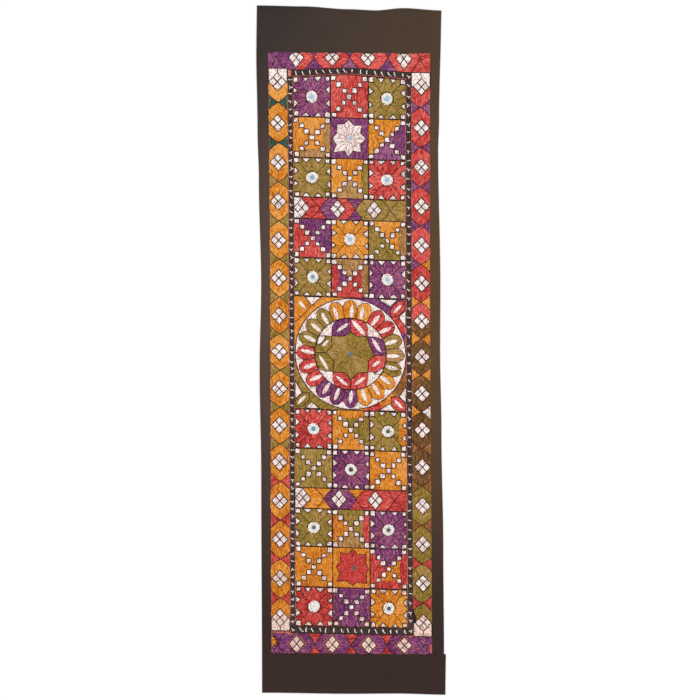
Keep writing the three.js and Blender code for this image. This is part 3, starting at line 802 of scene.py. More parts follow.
def strip(place, units, gaps, half, size, reach="side", haloed=False):
    """Barrel-sided units in a row, with a diamond in each and triangles where they meet.

    place() turns the strip's own directions, along and across it, into the chart's. half holds how far the
    strip reaches to either side of its middle line.
    """
    for s, *colours in gaps:
        for side, colour in zip((-1, 1), colours):
            k = half[side]
            w = side * k
            field([place(s - k, w), place(s + k, w), place(s + k, 0), place(s - k, 0)], colour, lie(place),
                  rng.uniform(-0.1, 0.1))
    for unit in units:
        sized = {name: value * unit["scale"] for name, value in size.items()}
        a, h = sized["across"], sized["along"]
        for end, colour, s in ((-1, unit["before"], unit["from"]), (1, unit["after"], unit["to"])):
            if colour == "white":
                white_end(place, unit, end, s, half, sized)
            else:
                half_unit(place, unit, end, colour, s, half, reach)
        if haloed:
            ends = [(a, 0), (0, -h), (-a, 0), (0, h)]
            halo = uneven([place(unit["at"] + along * HALO, across * HALO) for across, along in ends])
            line(halo, closed=True, colour="pink", width=1.5)
        for i, cell in enumerate(DIAMOND_CELLS):
            points = [place(unit["at"] + y * h / 2, unit["across"] + x * a / 2) for x, y in cell]
            slant = heading(points[0], points[1 if i % 2 else 3])
            white(uneven(points, 0.35), slant)


def units_between(centres, stops, colours, across):
    """Units in a row, each with its diamond's place, its two ends, and its colours before and after."""
    return [{"at": at, "from": start, "to": stop, "before": before, "after": after, "across": across,
             "scale": 1} for at, start, stop, (before, after) in zip(centres, stops, stops[1:], colours)]


# The field, from its top

def four(*values):
    """Colours of the quarters, one for all or for each: a name, or inner and outer names with a stroke."""
    each = values * (len(SIDES) // len(values))
    return {name: (value.split("/")[0], value.split("/")[-1]) for name, value in zip(SIDES, each)}


# Outlines in shares of the half size of the block: each tip with the notch after it, clockwise
# The white star's tone of -0.2 is painted shade that greys its points. Its seams in the shade colour are
# painted shade along real seam lines.
WHITE_STAR = {
    "ground": "purple", "star": "white", "seam": "shade", "ring": 8.5, "mirror": (0.04, 0), "tone": -0.2,
    "outline": [(-0.04, 0.93), (0.26, 0.64), (0.67, 0.69), (0.58, 0.3), (0.89, 0.01), (0.58, -0.28),
                (0.61, -0.68), (0.2, -0.61), (-0.08, -0.91), (-0.25, -0.62), (-0.87, -0.71), (-0.71, -0.33),
                (-0.92, 0), (-0.68, 0.26), (-0.66, 0.69), (-0.29, 0.71)]}
RED_STAR = {
    "ground": "orange", "star": "red", "seam": None, "ring": 6.5, "mirror": (0.14, 0), "tone": -0.03,
    "outline": [(0.07, 0.93), (0.33, 0.68), (0.8, 0.68), (0.78, 0.23), (0.91, -0.03), (0.79, -0.26),
                (0.8, -0.76), (0.3, -0.71), (0.07, -0.87), (-0.3, -0.63), (-0.75, -0.7), (-0.58, -0.25),
                (-0.83, 0.03), (-0.57, 0.26), (-0.61, 0.75), (-0.17, 0.69)]}
FIELD_ROWS = [
    (88, [("flower", four("purple")), ("cross", four("red")), ("flower", four("olive"))]),
    (90, [("cross", four("orange", "orange/tan", "orange/tan", "orange")), ("star", WHITE_STAR),
          ("cross", four("orange", "purple", "purple", "orange"))]),
    (88.5, [("flower", four("olive")), ("cross", four("orange", "orange/olive", "tan", "orange")),
            ("flower", four("red"))]),
    (47, "upper"),
    (86.5, [("cross", four("purple", "purple", "red", "red")), ("flower", four("orange")),
            ("cross", four("orange", "orange/tan", "olive", "olive"))]),
    (86, [("flower", four("olive")), ("cross", four("tan", "red/tan", "red", "purple/red")),
          ("flower", four("purple"))]),
    (249.5, "medallion"),
    (88, [("flower", four("red")), ("cross", four("olive/orange", "olive", "orange", "orange")),
          ("flower", four("olive", "olive/orange", "olive", "olive"))]),
    (87, [("cross", four("olive")), ("flower", four("purple")), ("cross", four("orange"))]),
    (45.5, "lower"),
    (84.5, [("flower", four("olive")), ("cross", four("olive", "olive/red", "tan", "orange")),
            ("flower", four("purple"))]),
    (89, [("cross", four("orange")), ("star", RED_STAR),
          ("cross", four("purple", "orange/red", "orange/red", "red"))]),
    (86.5, [("flower", four("red")), ("cross", four("purple")), ("flower", four("orange"))]),
]
BLOCKS = {"flower": flower_block, "cross": cross_block, "star": star_block}
BAND_DIAMONDS_U = [-106.5, -27, 53.5]
BANDS = {
    "upper": {"crossings": [-HALF_FIELD, -66.6, 12.3, 89.7], "end": "olive",
              "units": [("white", "red"), ("purple", "red"), ("olive", "olive")],
              "gaps": [(-66.6, "red", "red"), (12.3, "purple", "purple"), (89.7, "olive", "olive")]},
    "lower": {"crossings": [-HALF_FIELD, -60.3, 11.5, 95.8], "end": "red",
              "units": [("white", "orange"), ("purple", "purple"), ("red", "red")],
              "gaps": [(-60.3, "orange", "orange"), (11.5, "red", "orange"), (95.8, "red", "red")]},
}


def band(block, colours):
    """Three diamonds in a narrow band, which ends plain at the right."""
    half = block.half[1] - GROOVE / 2
    right = HALF_FIELD - GROOVE / 2

    def place(s, w):
        return [s, block.centre[1] + w]

    last = colours["crossings"][-1]
    plain = [place(last, -half), place(right, -half), place(right, half), place(last, half)]
    field(plain, colours["end"], 0)
    units = units_between(BAND_DIAMONDS_U, colours["crossings"], colours["units"], 0)
    strip(place, units, colours["gaps"], {-1: half, 1: half}, DIAMONDS["band"])
    for side in (1, -1):
        line([place(last, 0), place(last + 0.85 * half, side * half)])


# The medallion
PETAL_COLOURS = ["orange", "orange", "red", "red", "olive", "tan", "olive", "orange", "orange", "orange",
                 "purple", "purple", "purple", "red", "red", "red", "olive", "olive", "olive", "orange"]
PETAL_INNER = 80
PETAL_SHOULDER = 106
PETAL_ROUND = {"radius": 116.5, "turn": 0.26}
PETAL_TIP = 120.5
CIRCLE_RADIUS = 122.8
PETAL_SLIT = {"inner": 79.2, "outer": 110.5, "width": 8.4}
LEAF_WIDTH = 25
LEAF_SLIT_WIDTH = 6.4
CENTRE_RING = 6.5
CENTRE_STAR = [(-42, 38.5), (-13, 39), (0, 50.5), (14.5, 39.5), (38, 40.4), (41, 25.5), (53.5, -1),
               (39, -14.6), (39, -38.6), (15.5, -42), (0, -57), (-12, -42), (-39, -40.4), (-38, -17.4),
               (-55, 2), (-40, 14.6)]
CENTRE_TONES = [0.25, 0, -0.1, -0.1, 0.3, 0, -0.1, 0.1]

# The leaves round the star, clockwise from the top: each one's colour, and its slit's ends and width
LEAVES = [
    ("red", (2.6, 75.8), (33.5, 42), 9.5), ("purple", (47.6, 37), (67.8, 5.5), 7.5),
    ("red", (48.5, -26.2), (66, -13), 6.5), ("red", (33, -49.8), (8, -68.3), 6.5),
    ("red", (-5.7, -71.5), (-32.4, -49.5), 6.5), ("olive", (-49, -37.3), (-70, -4), 6.5),
    ("olive", (-62.7, 14.7), (-47, 30), 6), ("purple", (-30.5, 48), (-3.9, 68.3), 6.5),
]
LEAF_REACH = 26
LEAF_BOW = 3.5
RING_WEDGES = [
    [(-70.8, 39.3), (-54, 37), (-63.2, 22.1), (-75, 17.1)],
    [(51.4, -41.9), (73.5, -27.2), (68.8, -43)],
]

# Outside the circle: a slit, perhaps in a leaf, and white triangles in each corner, on one ground or two
CIRCLE_CORNERS = [
    {"x": -1, "y": 1, "ground": "orange", "slit": ((-114.3, 112.2), (-98.8, 93.5)),
     "whites": [((-100.5, 121.9), (-65.5, 122.2), (-85.8, 103.1))],
     "line": ((-85.8, 103.1), (-98, 88), (-122.8, 64))},
    {"x": 1, "y": 1, "ground": "purple", "below": "red", "slit": ((96.1, 92.9), (113.7, 111.2)),
     "whites": [((62, 122), (106, 122), (87.9, 105.5)), ((107, 84), (122.8, 99.5), (122.8, 62))],
     "leaf": ("red", (89.5, 83), (121, 119.5)),
     "extra": ("purple", [(111.5, 43.5), (119.8, 54), (124, 47), (124, 34)])},
    {"x": -1, "y": -1, "ground": "olive", "slit": ((-118, -117.3), (-98.7, -96.8)),
     "whites": [((-122.8, -64.6), (-106.9, -93), (-122.8, -105)),
                ((-101, -125), (-86.8, -110.5), (-68, -125))],
     "leaf": ("olive", (-122, -122.5), (-92, -90.5))},
    {"x": 1, "y": -1, "ground": "orange", "below": "rust", "slit": ((97.1, -99.8), (116.2, -120)),
     "whites": [((108.1, -93.0), (122.8, -68.3), (122.8, -107)), ((63.7, -125), (86.0, -108.2), (99, -125))],
     "leaf": ("red", (90, -93.5), (122, -124.5)),
     "extra": ("red", [(30, -124.7), (63.9, -100), (69.4, -120.2), (62, -124.7)])},
]


def slit(start, end, width, turn=20):
    """A white slit, stitched aslant."""
    patch(lens(start, end, width), "white", heading(start, end) + turn, outlined=False)


def circle_corner(block, corner):
    """One corner of the medallion's square, outside its circle."""
    centre, x, y = np.array(block.centre), corner["x"], corner["y"]
    slant = 90 - 45 * x * y
    block.field([(0, 0), (0, y), (x, y), (x, 0)], corner["ground"], slant)
    if "below" in corner:
        block.field([(0.2, 0), (1, y), (1, 0)], corner["below"], slant)
    if "extra" in corner:
        colour, points = corner["extra"]
        field(centre + points, colour, slant)
    for triangle in corner["whites"]:
        patch(uneven(triangle, 0.3), "white", 90 + 25 * x)
    if "line" in corner:
        line(corner["line"])
    if "leaf" in corner:
        colour, start, end = corner["leaf"]
        outline = lens(start, end, LEAF_WIDTH)
        field(outline, colour, heading(start, end) + 50, rng.uniform(-0.1, 0.1))
        line(outline, closed=True)
    slit(*corner["slit"], LEAF_SLIT_WIDTH)


def petals(centre):
    pitch = 360 / len(PETAL_COLOURS)
    for i, colour in enumerate(PETAL_COLOURS):
        middle = i * pitch
        low, high = middle - pitch / 2, middle + pitch / 2
        turn = PETAL_ROUND["turn"] * pitch
        outline = [
            (low, PETAL_INNER),
            (low, PETAL_SHOULDER + rng.uniform(-2, 2)),
            (middle - turn, PETAL_ROUND["radius"]),
            (middle + rng.uniform(-1.5, 1.5), PETAL_TIP + rng.uniform(-1.5, 1)),
            (middle + turn, PETAL_ROUND["radius"]),
            (high, PETAL_SHOULDER + rng.uniform(-2, 2)),
            (high, PETAL_INNER),
        ]
        petal = [polar(centre, *row) for row in outline]
        field(petal, colour, 90 - middle, rng.uniform(-0.15, 0.15))
        line(petal[:-1])
        ends = [polar(centre, middle + rng.normal(0, 1.5), PETAL_SLIT[end]) for end in ("inner", "outer")]
        slit(*ends, PETAL_SLIT["width"], 25)


def medallion(block):
    """Twenty petals round a ring of leaves, with a star in the middle."""
    centre = np.array(block.centre)
    for corner in CIRCLE_CORNERS:
        circle_corner(block, corner)
    patch(arc(centre, 0, 354, CIRCLE_RADIUS, 60), "white", 90)
    petals(centre)
    patch(arc(centre, 0, 350, PETAL_INNER - 0.5, 36), "white", 60)
    star = centre + CENTRE_STAR
    for i, (colour, slit_start, slit_end, width) in enumerate(LEAVES):
        quarter = (i + 1) // 2
        axis = 90 * quarter
        side = 1 if i % 2 == 0 else -1
        tip = 2 + 4 * (quarter % 4)
        corner = star[(tip + 2 * side) % len(star)]
        out = polar(centre, axis + side * LEAF_REACH, PETAL_INNER - 1)
        bow = np.array(polar(centre, axis + side * 45, LEAF_BOW)) - centre
        outline = [corner, (corner + out) / 2 + bow, out,
                   *arc(centre, axis + side * LEAF_REACH * 0.66, axis, PETAL_INNER - 1, 3),
                   star[tip], star[(tip + side) % len(star)]]
        start, end = centre + slit_start, centre + slit_end
        field(outline, colour, heading(start, end) + 60, rng.uniform(-0.1, 0.1))
        line(outline, closed=True)
        slit(start, end, width)
    for wedge in RING_WEDGES:
        patch(centre + wedge, "white", 60)
    for i, tone in enumerate(CENTRE_TONES):
        around = [star[(2 * i + k) % len(star)] for k in (-1, 0, 1)]
        field([centre, *around], "olive", heading(centre, around[1]), tone)
        line([centre + 0.45 * (around[0] - centre), around[0]], colour="pink", width=1.1,
             top=STITCH_TOP + 0.1)
    line(star, closed=True)
    mirrors.append({"centre": block.centre, "ring": CENTRE_RING, "thread": "olive"})


def chart_field():
    """All the rows of the field, with a dark line between the blocks."""
    top = FIELD_TOP
    for height, blocks in FIELD_ROWS:
        middle = top - height / 2
        row = Block(0, middle, FIELD_WIDTH, height)
        if blocks == "medallion":
            medallion(row)
        elif isinstance(blocks, str):
            band(row, BANDS[blocks])
        else:
            width = FIELD_WIDTH / len(blocks)
            for column, (kind, colours) in enumerate(blocks):
                BLOCKS[kind](Block(-HALF_FIELD + (column + 0.5) * width, middle, width, height), colours)
                if column:
                    u = -HALF_FIELD + column * width
                    line([(u, top), (u, top - height)])
        line([(-HALF_FIELD, top), (0, top), (HALF_FIELD, top)])
        top -= height
    line([(-HALF_FIELD, top), (0, top), (HALF_FIELD, top)])
    for side in (-1, 1):
        line([(side * HALF_FIELD, v) for v in np.linspace(FIELD_TOP, top, 30)], colour="pink")


# The border: where its diamonds and crossings are along each strip, and what colours lie round them
SIDE_DIAMONDS_V = [505, 418, 331, 245, 161, 77, -2, -84, -165, -247, -333, -418, -505]
SIDE_STRIPS = {
    "left": {"side": -1, "diamond_u": -158, "scale": 1.08, "corners": (598, -590), "ends": (629, -618.5),
             "units": [("white", "orange")] + [("orange", "orange")] * 13 + [("orange", "white")],
             "gaps": [("green", "green")] * 2 + [("olive", "olive")] * 8 + [("red", "red")] * 4},
    "right": {"side": 1, "diamond_u": 158.5, "scale": 0.95, "corners": (594.5, -593.5), "ends": (625, -625),
              "units": ([("white", "red")] + [("red", "red")] * 5 + [("red", "moss")]
                        + [("moss", "moss")] * 4 + [("olive", "olive")] * 3 + [("olive", "white")]),
              "gaps": ([("purple", "purple")] * 4 + [("purple", "orange")] + [("orange", "orange")] * 3
                       + [("orange", "white")] + [("rust", "rust")] * 3 + [("red", "red")] * 2)},
}
END_STRIPS = {
    "top": {"middle": 655.8, "diamonds": (-116.3, -37, 41, 120), "crossings": (-160, -77.2, 1.3, 84.9, 155),
            "diamond_v": 654.5, "left": "purple", "right": "red",
            "units": [("purple", "red")] + [("red", "red")] * 3,
            "gaps": [("purple", "purple")] * 4 + [("red", "red")]},
    "bottom": {"middle": -647, "diamonds": (-121.7, -42.8, 37.5, 116.4),
               "crossings": (-163.2, -81, -1.3, 77.4, 157.9), "diamond_v": -646.2, "left": "purple",
               "right": "purple", "units": [("purple", "purple")] * 4,
               "gaps": [("purple", "purple")] + [("red", "red")] * 3 + [("purple", "purple")]},
}
BORDER_SCRAPS = [
    ([(-176.5, -629), (-162.9, -641.7), (-176.5, -655)], "orange"),
    ([(-134.7, 611.8), (-127.8, 611.8), (-127.8, 625), (-134.7, 625)], "pink"),
    ([(-148, -621), (-135.6, -616), (-128, -624.5), (-139, -627)], "pink"),
    ([(126.3, -623), (136, -619), (139.9, -612.3), (144, -619), (139.8, -626), (126.3, -627.5)], "pink"),
    ([(157, -618.5), (169.2, -617.4), (166.9, -625.5), (160, -625)], "pink"),
    ([(172.4, -644.4), (176.4, -643), (176.4, -664.5), (172.3, -664.5)], "pink"),
    ([(135, -560), (144.6, -584.4), (139, -599.6), (135, -617)], "dark"),
]


def side_border(row):
    """A strip of the border down one side of the runner."""
    middle = row["side"] * (BORDER_INNER + HALF_WIDTH - GROOVE / 2) / 2

    def place(s, w):
        return [middle + w, -s]

    first, last = row["corners"]
    centres = [-v for v in (first, *SIDE_DIAMONDS_V, last)]
    crossings = [(a + b) / 2 for a, b in zip(centres, centres[1:])]
    high, low = row["ends"]
    gaps = [(s, *colours) for s, colours in zip(crossings, row["gaps"])]
    units = units_between(centres, [-high, *crossings, -low], row["units"], row["diamond_u"] - middle)
    units[0]["scale"] = row["scale"]
    reach = {row["side"]: HALF_WIDTH - abs(middle), -row["side"]: BORDER_WIDTH / 2 - GROOVE / 4}
    strip(place, units, gaps, reach, DIAMONDS["side"])


def end_border(end, low, high):
    """A strip of the border along one end, between its two corners."""
    row = END_STRIPS[end]
    middle, crossings = row["middle"], row["crossings"]

    def place(s, w):
        return [s, middle + w]

    left, right = crossings[0], crossings[-1]
    for side, start, stop in (("left", -HALF_WIDTH, left), ("right", right, HALF_WIDTH)):
        field([(start, low), (stop, low), (stop, high), (start, high)], row[side], 0, -0.05)
    gaps = [(s, *colours) for s, colours in zip(crossings, row["gaps"])]
    units = units_between(row["diamonds"], crossings, row["units"], row["diamond_v"] - middle)
    strip(place, units, gaps, {-1: middle - low, 1: high - middle}, DIAMONDS[end], "end", end == "bottom")
    for side, crossing in ((-1, left), (1, right)):
        reach = 0.8 * (HALF_WIDTH - abs(crossing))
        for v in (high, low):
            line([(crossing, middle), (crossing + side * reach, v)])
    base = low if middle > 0 else high
    line([(-BORDER_INNER, base), (0, base), (BORDER_INNER, base)], width=THIN_LINE)


end_border("top", TOP_TAPE_V + TAPE_WIDTH["top"] / 2 + TAPE_MARGIN, HALF_LENGTH)
end_border("bottom", -HALF_LENGTH, BOTTOM_TAPE_V - TAPE_WIDTH["bottom"] / 2 - TAPE_MARGIN)
for strip_row in SIDE_STRIPS.values():
    side_border(strip_row)
for scrap, scrap_colour in BORDER_SCRAPS:
    field(scrap, scrap_colour, 0)
line(BORDER_SCRAPS[0][0])
chart_field()
boxes = np.array([[*shape["points"].min(0), *shape["points"].max(0)] for shape in fields])
for i, shape in enumerate(fields):
    low, high = boxes[i, :2], boxes[i, 2:]
    meets = np.all((boxes[i + 1:, :2] < high) & (boxes[i + 1:, 2:] > low), axis=1)
    sew_field(shape, [fields[i + 1 + k] for k in np.flatnonzero(meets)])
for row in lines:
    sew_line(row)

thread_materials = {colour: thread_material(colour) for colour in THREADS}


# Ground cloth

GROUND_GRID = (38, 140)


def ripple(plan, size):
    """Gentle unevenness of a cloth that lies on a floor, in millimetres."""
    x, y = plan[..., 0], plan[..., 1]
    slow = np.sin(x / 37 + 1.3 * np.sin(y / 83)) * np.cos(y / 61 + 0.7) + np.sin(y / 29 - x / 53)
    return size * 0.5 * slow


across_along = [np.linspace(-half, half, count)
                for half, count in zip((HALF_WIDTH, HALF_LENGTH), GROUND_GRID)]
ground_plan = laid(np.stack(np.meshgrid(*across_along, indexing="ij"), -1))
ground = piece_of("ground_cloth", closed_sheet(ground_plan, GROUND_TOP + ripple(ground_plan, 0.06), 0.0),
                  cloth_material("ground_cloth", 0.9, 0.04, 60.0, GROUND_COLOURS, 0.9, 0.0002))
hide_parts("embroidered_panel")


# Mirrors and the rings of thread that hold them

# Each mirror from the top left: its tone, from pale through blue, which is painted reflection, to tarnished,
# and the radius that its ring leaves bare
MIRRORS_SEEN = [(0.3, 4.8), (0.35, 5.3), (0.2, 5.1), (0.47, 4.7), (0.38, 4.6), (0.3, 4.5), (0.55, 3.6),
                (0.2, 4.3), (0.72, 4.3), (0.56, 4.7), (0.92, 3.7), (1.0, 4.4), (0.75, 3.8), (0.95, 3.5),
                (0.88, 4.2), (0.02, 3.6), (0.95, 3.4)]
RIM_STEPS = 40
DOME = [(1.0, 0.0), (1.0, 0.8), (0.93, 0.95), (0.6, 1.0), (0.25, 1.03)]

# Along each ring stitch, from over the mirror's rim outwards: share of its length, heights and width
RING_STATIONS = np.array([(0.0, 2.6, 2.75, 0.6), (0.12, 2.55, 2.95, 0.8), (0.35, 2.2, 3.05, 0.95),
                          (0.7, 1.9, 2.8, 1.0), (0.94, 1.7, 2.45, 1.05), (1.0, 1.7, 2.0, 1.0)])
RING_SCALLOPS = {"count": 11, "depth": 1.6, "uneven": 0.35}
RING_FLECKS = {"fewest": 4, "most": 10, "length": 2.2, "width": 1.5, "height": 3.2}
RING_THREAD = 1.55


def mirror_disc(number, mirror):
    """A slightly domed disc of glass with a nibbled rim."""
    angles = np.linspace(0, 2 * np.pi, RIM_STEPS, endpoint=False)
    rim = MIRROR_RADIUS * (1 + 0.015 * np.sin(5 * angles + number) + 0.01 * np.sin(9 * angles))
    centre = laid(mirror["centre"])
    edge = np.stack([rim * np.cos(angles), rim * np.sin(angles)], -1)
    thickness = MIRROR_TOP - MIRROR_BOTTOM
    return stacked([lifted(centre + share * edge, MIRROR_BOTTOM + thickness * rise) for share, rise in DOME],
                   centre)


def mirror_ring(mirror):
    """Buttonhole stitches set close round a mirror, scalloped at their outer ends."""
    outer = mirror["ring"]
    count = round(2 * math.pi * (outer * 0.85) / RING_THREAD)
    angles = 2 * np.pi * (np.arange(count) + 0.5) / count
    shares, lows, highs, widths = RING_STATIONS.T
    lobes = np.abs(np.cos(angles * RING_SCALLOPS["count"] / 2 + rng.uniform(0, 3)))
    oval = 1 + 0.05 * np.cos(2 * angles + rng.uniform(0, 6))
    depth = RING_SCALLOPS["depth"] * min(1, outer / RING_RADIUS)
    scallop = (outer - depth * (1 - lobes)) * oval + rng.normal(0, RING_SCALLOPS["uneven"], count)
    inner = mirror["bare"] + rng.normal(0, 0.15, count)
    radii = inner[:, None] + (scallop - inner)[:, None] * shares
    lean = angles[:, None] + 0.05 * shares
    paths = laid(np.array(mirror["centre"])) + np.stack([radii * np.cos(lean), radii * np.sin(lean)], -1)
    width = np.minimum(2 * np.pi * radii / count * 1.15, RING_THREAD * 1.3) * widths
    put_away(rings_kept, mirror["thread"], paths, width, lows, highs + rng.normal(0, 0.04, (count, 1)),
             rng.uniform(0.1, 1, count))
    if mirror["thread"] == "cream":
        ring_flecks(mirror)


def ring_flecks(mirror):
    """A few short dark stitches between those of a ring."""
    count = rng.integers(RING_FLECKS["fewest"], RING_FLECKS["most"])
    degrees = rng.uniform(0, 360, count)
    radii = rng.uniform(mirror["bare"] + 2, mirror["ring"] - 1.5, count)
    starts = [polar(mirror["centre"], turn, radius) for turn, radius in zip(degrees, radii)]
    ends = [polar(mirror["centre"], turn + rng.uniform(-9, 9), radius + RING_FLECKS["length"])
            for turn, radius in zip(degrees, radii)]
    top = RING_FLECKS["height"]
    keep("dark", starts, ends, RING_FLECKS["width"], top - LINE_HEIGHT, top, rng.random(count))


def thread_piece(name, colour, rows):
    """One mesh of all the strands in one thread."""
    *parts, tones = (np.concatenate(part) for part in zip(*rows))
    mesh_parts = strands(*parts)
    tones = np.repeat(tones, len(mesh_parts[0]) // len(tones))
    return piece_of(name, mesh_parts, thread_materials[colour], tones)


def pad(shape):
    """A filling of thread under a raised patch, so that no ground shows between its stitches."""
    plan = laid(shape["points"])
    area = np.sum(plan[:, 0] * np.roll(plan[:, 1], -1) - np.roll(plan[:, 0], -1) * plan[:, 1])
    plan = plan if area > 0 else plan[::-1]
    return stacked([lifted(plan, height) for height in (STITCH_FOOT, PAD_TOP)], plan.mean(0))


rings_kept = {}
for mirror, (tone, bare) in zip(mirrors, MIRRORS_SEEN):
    mirror.update(tone=tone, bare=bare)
disc_tones = np.repeat([mirror["tone"] for mirror in mirrors], len(DOME) * RIM_STEPS + 2)
discs = piece_of("mirrors", together([mirror_disc(number, mirror) for number, mirror in enumerate(mirrors)]),
                 mirror_material(), disc_tones)
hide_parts(*[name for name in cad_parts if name.startswith("mirror_")])
for mirror in mirrors:
    mirror_ring(mirror)

embroidery = [thread_piece(f"stitches_{colour}", colour, rows) for colour, rows in stitches.items()]
embroidery += [thread_piece(f"mirror_rings_{colour}", colour, rows) for colour, rows in rings_kept.items()]

MOST_PAD_CORNERS = 20
PAD_TONE = 0.3
raised = [shape for shape in fields if shape["top"] > STITCH_TOP]
for colour in sorted({shape["colour"] for shape in raised}):
    padding = together([pad(shape) for shape in raised
                        if shape["colour"] == colour and len(shape["points"]) <= MOST_PAD_CORNERS])
    embroidery.append(piece_of(f"patch_pads_{colour}", padding, thread_materials[colour],
                               np.full(len(padding[0]), PAD_TONE)))


# Tapes and the forked and hooked stitches that hold them

FLY_PITCH = {"left": 16.5, "right": 20.5, "top": 15.3, "bottom": 15.8}
FLY_THREAD = 2.2
TAPE_STEP = 2.5
TAPE_DIP = {"depth": 0.22, "reach": 2.2}

# Across a tape: the share of its half width, and of its thickness
TAPE_PROFILE = np.array([(-1.0, 0.55), (-0.95, 0.9), (-0.86, 1.0), (-0.48, 0.93), (0, 0.9), (0.48, 0.93),
                         (0.86, 1.0), (0.95, 0.9), (1.0, 0.55)])


def axes_of(start, end):
    """A run's start, and its directions along and to the left."""
    start, end = np.array(start, float), np.array(end, float)
    along = (end - start) / np.linalg.norm(end - start)
    return start, along, np.array([-along[1], along[0]])


def tape(name, start, end, width, fly):
    """A tape along a straight run of the chart, drawn in where each stitch crosses it."""
    length = math.dist(start, end)
    start, along, side = axes_of(start, end)
    runs = np.linspace(0, length, round(length / TAPE_STEP))
    offsets = TAPE_PROFILE[:, 0] * width / 2
    plan = laid(start + runs[:, None, None] * along + offsets[None, :, None] * side)
    dip = TAPE_DIP["depth"] * np.exp(-((runs[:, None] - fly[None]) / TAPE_DIP["reach"]) ** 2).sum(1)
    height = TAPE_BOTTOM + (TAPE_TOP - TAPE_BOTTOM) * TAPE_PROFILE[None, :, 1] - dip[:, None]
    return piece_of(f"tape_cloth_{name}", closed_sheet(plan, height, TAPE_BOTTOM), tape_finish)


def fly_thread(first, last):
    keep("fly", [first], [last], FLY_THREAD, TAPE_TOP - 0.35, TAPE_TOP + 0.4, rng.uniform(0.4, 1))


def fly_stitches(start, end, fly):
    """Small forked stitches of white thread, set along a side tape."""
    start, along, side = axes_of(start, end)
    for place in fly:
        middle = start + along * place + side * rng.normal(0, 0.5)
        turn = rng.normal(0, 0.35)
        stem = along * math.cos(turn) + side * math.sin(turn)
        cross = np.array([-stem[1], stem[0]])
        tips = [middle + cross * rng.uniform(3.4, 4.8) + stem * rng.uniform(0.8, 3.8),
                middle - cross * rng.uniform(3, 4.6) + stem * rng.uniform(-0.5, 3),
                middle - stem * rng.uniform(2.6, 5.4)]
        for tip in tips[:3 if rng.random() < 0.75 else 2]:
            fly_thread(middle, tip)


def hook_stitches(start, end, fly):
    """Slanted stitches of white thread across an end tape, most with a short foot."""
    start, along, side = axes_of(start, end)
    for place in fly:
        middle = start + along * place
        slant = along * rng.normal(-1.2, 1.2)
        head = middle + side * rng.uniform(4, 5.6) + slant
        foot = middle - side * rng.uniform(3.6, 5.4) - slant
        rows = [(head, foot)]
        if rng.random() < 0.7:
            rows.append((foot, foot + along * rng.uniform(2, 4) + side * rng.uniform(0, 1.6)))
        if rng.random() < 0.35:
            rows.append((middle, middle - along * rng.uniform(2, 3.4) + side * rng.uniform(-0.5, 1.5)))
        for first, last in rows:
            fly_thread(first, last)


tape_finish = cloth_material("black_tape", 0.8, 0.05, 240.0, TAPE_COLOURS, 0.6, 0.0003)
tape_u = {side: HALF_FIELD + TAPE_MARGIN + TAPE_WIDTH[side] / 2 for side in ("left", "right")}
tape_end_u = HALF_FIELD + TAPE_MARGIN - 0.3
tape_top_v = TOP_TAPE_V + TAPE_WIDTH["top"] / 2
tape_bottom_v = BOTTOM_TAPE_V - TAPE_WIDTH["bottom"] / 2
TAPES = {
    "left": ((-tape_u["left"], tape_bottom_v), (-tape_u["left"], LEFT_TAPE_TOP), fly_stitches),
    "right": ((tape_u["right"], tape_bottom_v), (tape_u["right"], tape_top_v), fly_stitches),
    "top": ((TOP_TAPE_LEFT, TOP_TAPE_V), (tape_end_u, TOP_TAPE_V), hook_stitches),
    "bottom": ((-tape_end_u, BOTTOM_TAPE_V), (tape_end_u, BOTTOM_TAPE_V), hook_stitches),
}
for name, (start, end, sew) in TAPES.items():
    length = math.dist(start, end)
    count = round(length / FLY_PITCH[name])
    fly = (np.arange(count) + 0.5) * length / count + rng.normal(0, 1.5, count)
    piece = tape(name, start, end, TAPE_WIDTH[name], fly)
    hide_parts(f"tape_{name}")
    sew(start, end, fly)
embroidery.append(thread_piece("fly_stitches", "white", stitches.pop("fly")))


# Black cotton surround: its edges as places along and distances across

LEFT_EDGE = [(764, -208.8), (658, -210), (488, -207.3), (379, -204.4), (144, -199.3), (-44, -202.6),
             (-277, -199.1), (-764, -197.1)]
RIGHT_EDGE = [(764, 200), (512, 195.1), (443, 193.1), (144, 197.8), (0, 197.3), (-177, 200.2), (-443, 204.4),
              (-676, 206)]
TOP_EDGE = [(-210, 764), (-109, 762), (-2, 755.5), (55, 753), (115, 758), (200, 753)]
BOTTOM_EDGE = [(-198, -759.5), (0, -762), (100, -761.4), (210, -764)]
BOTTOM_STRIP_RIGHT = (210, 208.8)
SEAM_GAP = -0.3
COTTON_STEP = 3.0
HEM_PROFILE = [(0.0, 0.9), (0.4, 1.65), (1.2, 2.0), (2.6, 2.1), (4.2, 2.1), (5.2, 2.0), (5.9, 1.75),
               (6.4, 1.45)]
SEAM_PROFILE = [(1.8, 1.4), (0.8, 1.3), (0.0, 0.9)]
PLAIN_STATIONS = 8
HEM_STITCH = {"pitch": 6.5, "length": 3.0, "in": 4.9, "width": 0.6, "low": 1.9, "high": 2.2, "tone": 0.3}


def along_edge(table, at):
    """The value of an edge table, eased between its rows."""
    places, values = np.array(sorted(table)).T
    at = np.atleast_1d(np.asarray(at, float))
    after = np.clip(np.searchsorted(places, at), 1, len(places) - 1)
    share = smooth((at - places[after - 1]) / (places[after] - places[after - 1]))
    return values[after - 1] + share * (values[after] - values[after - 1])


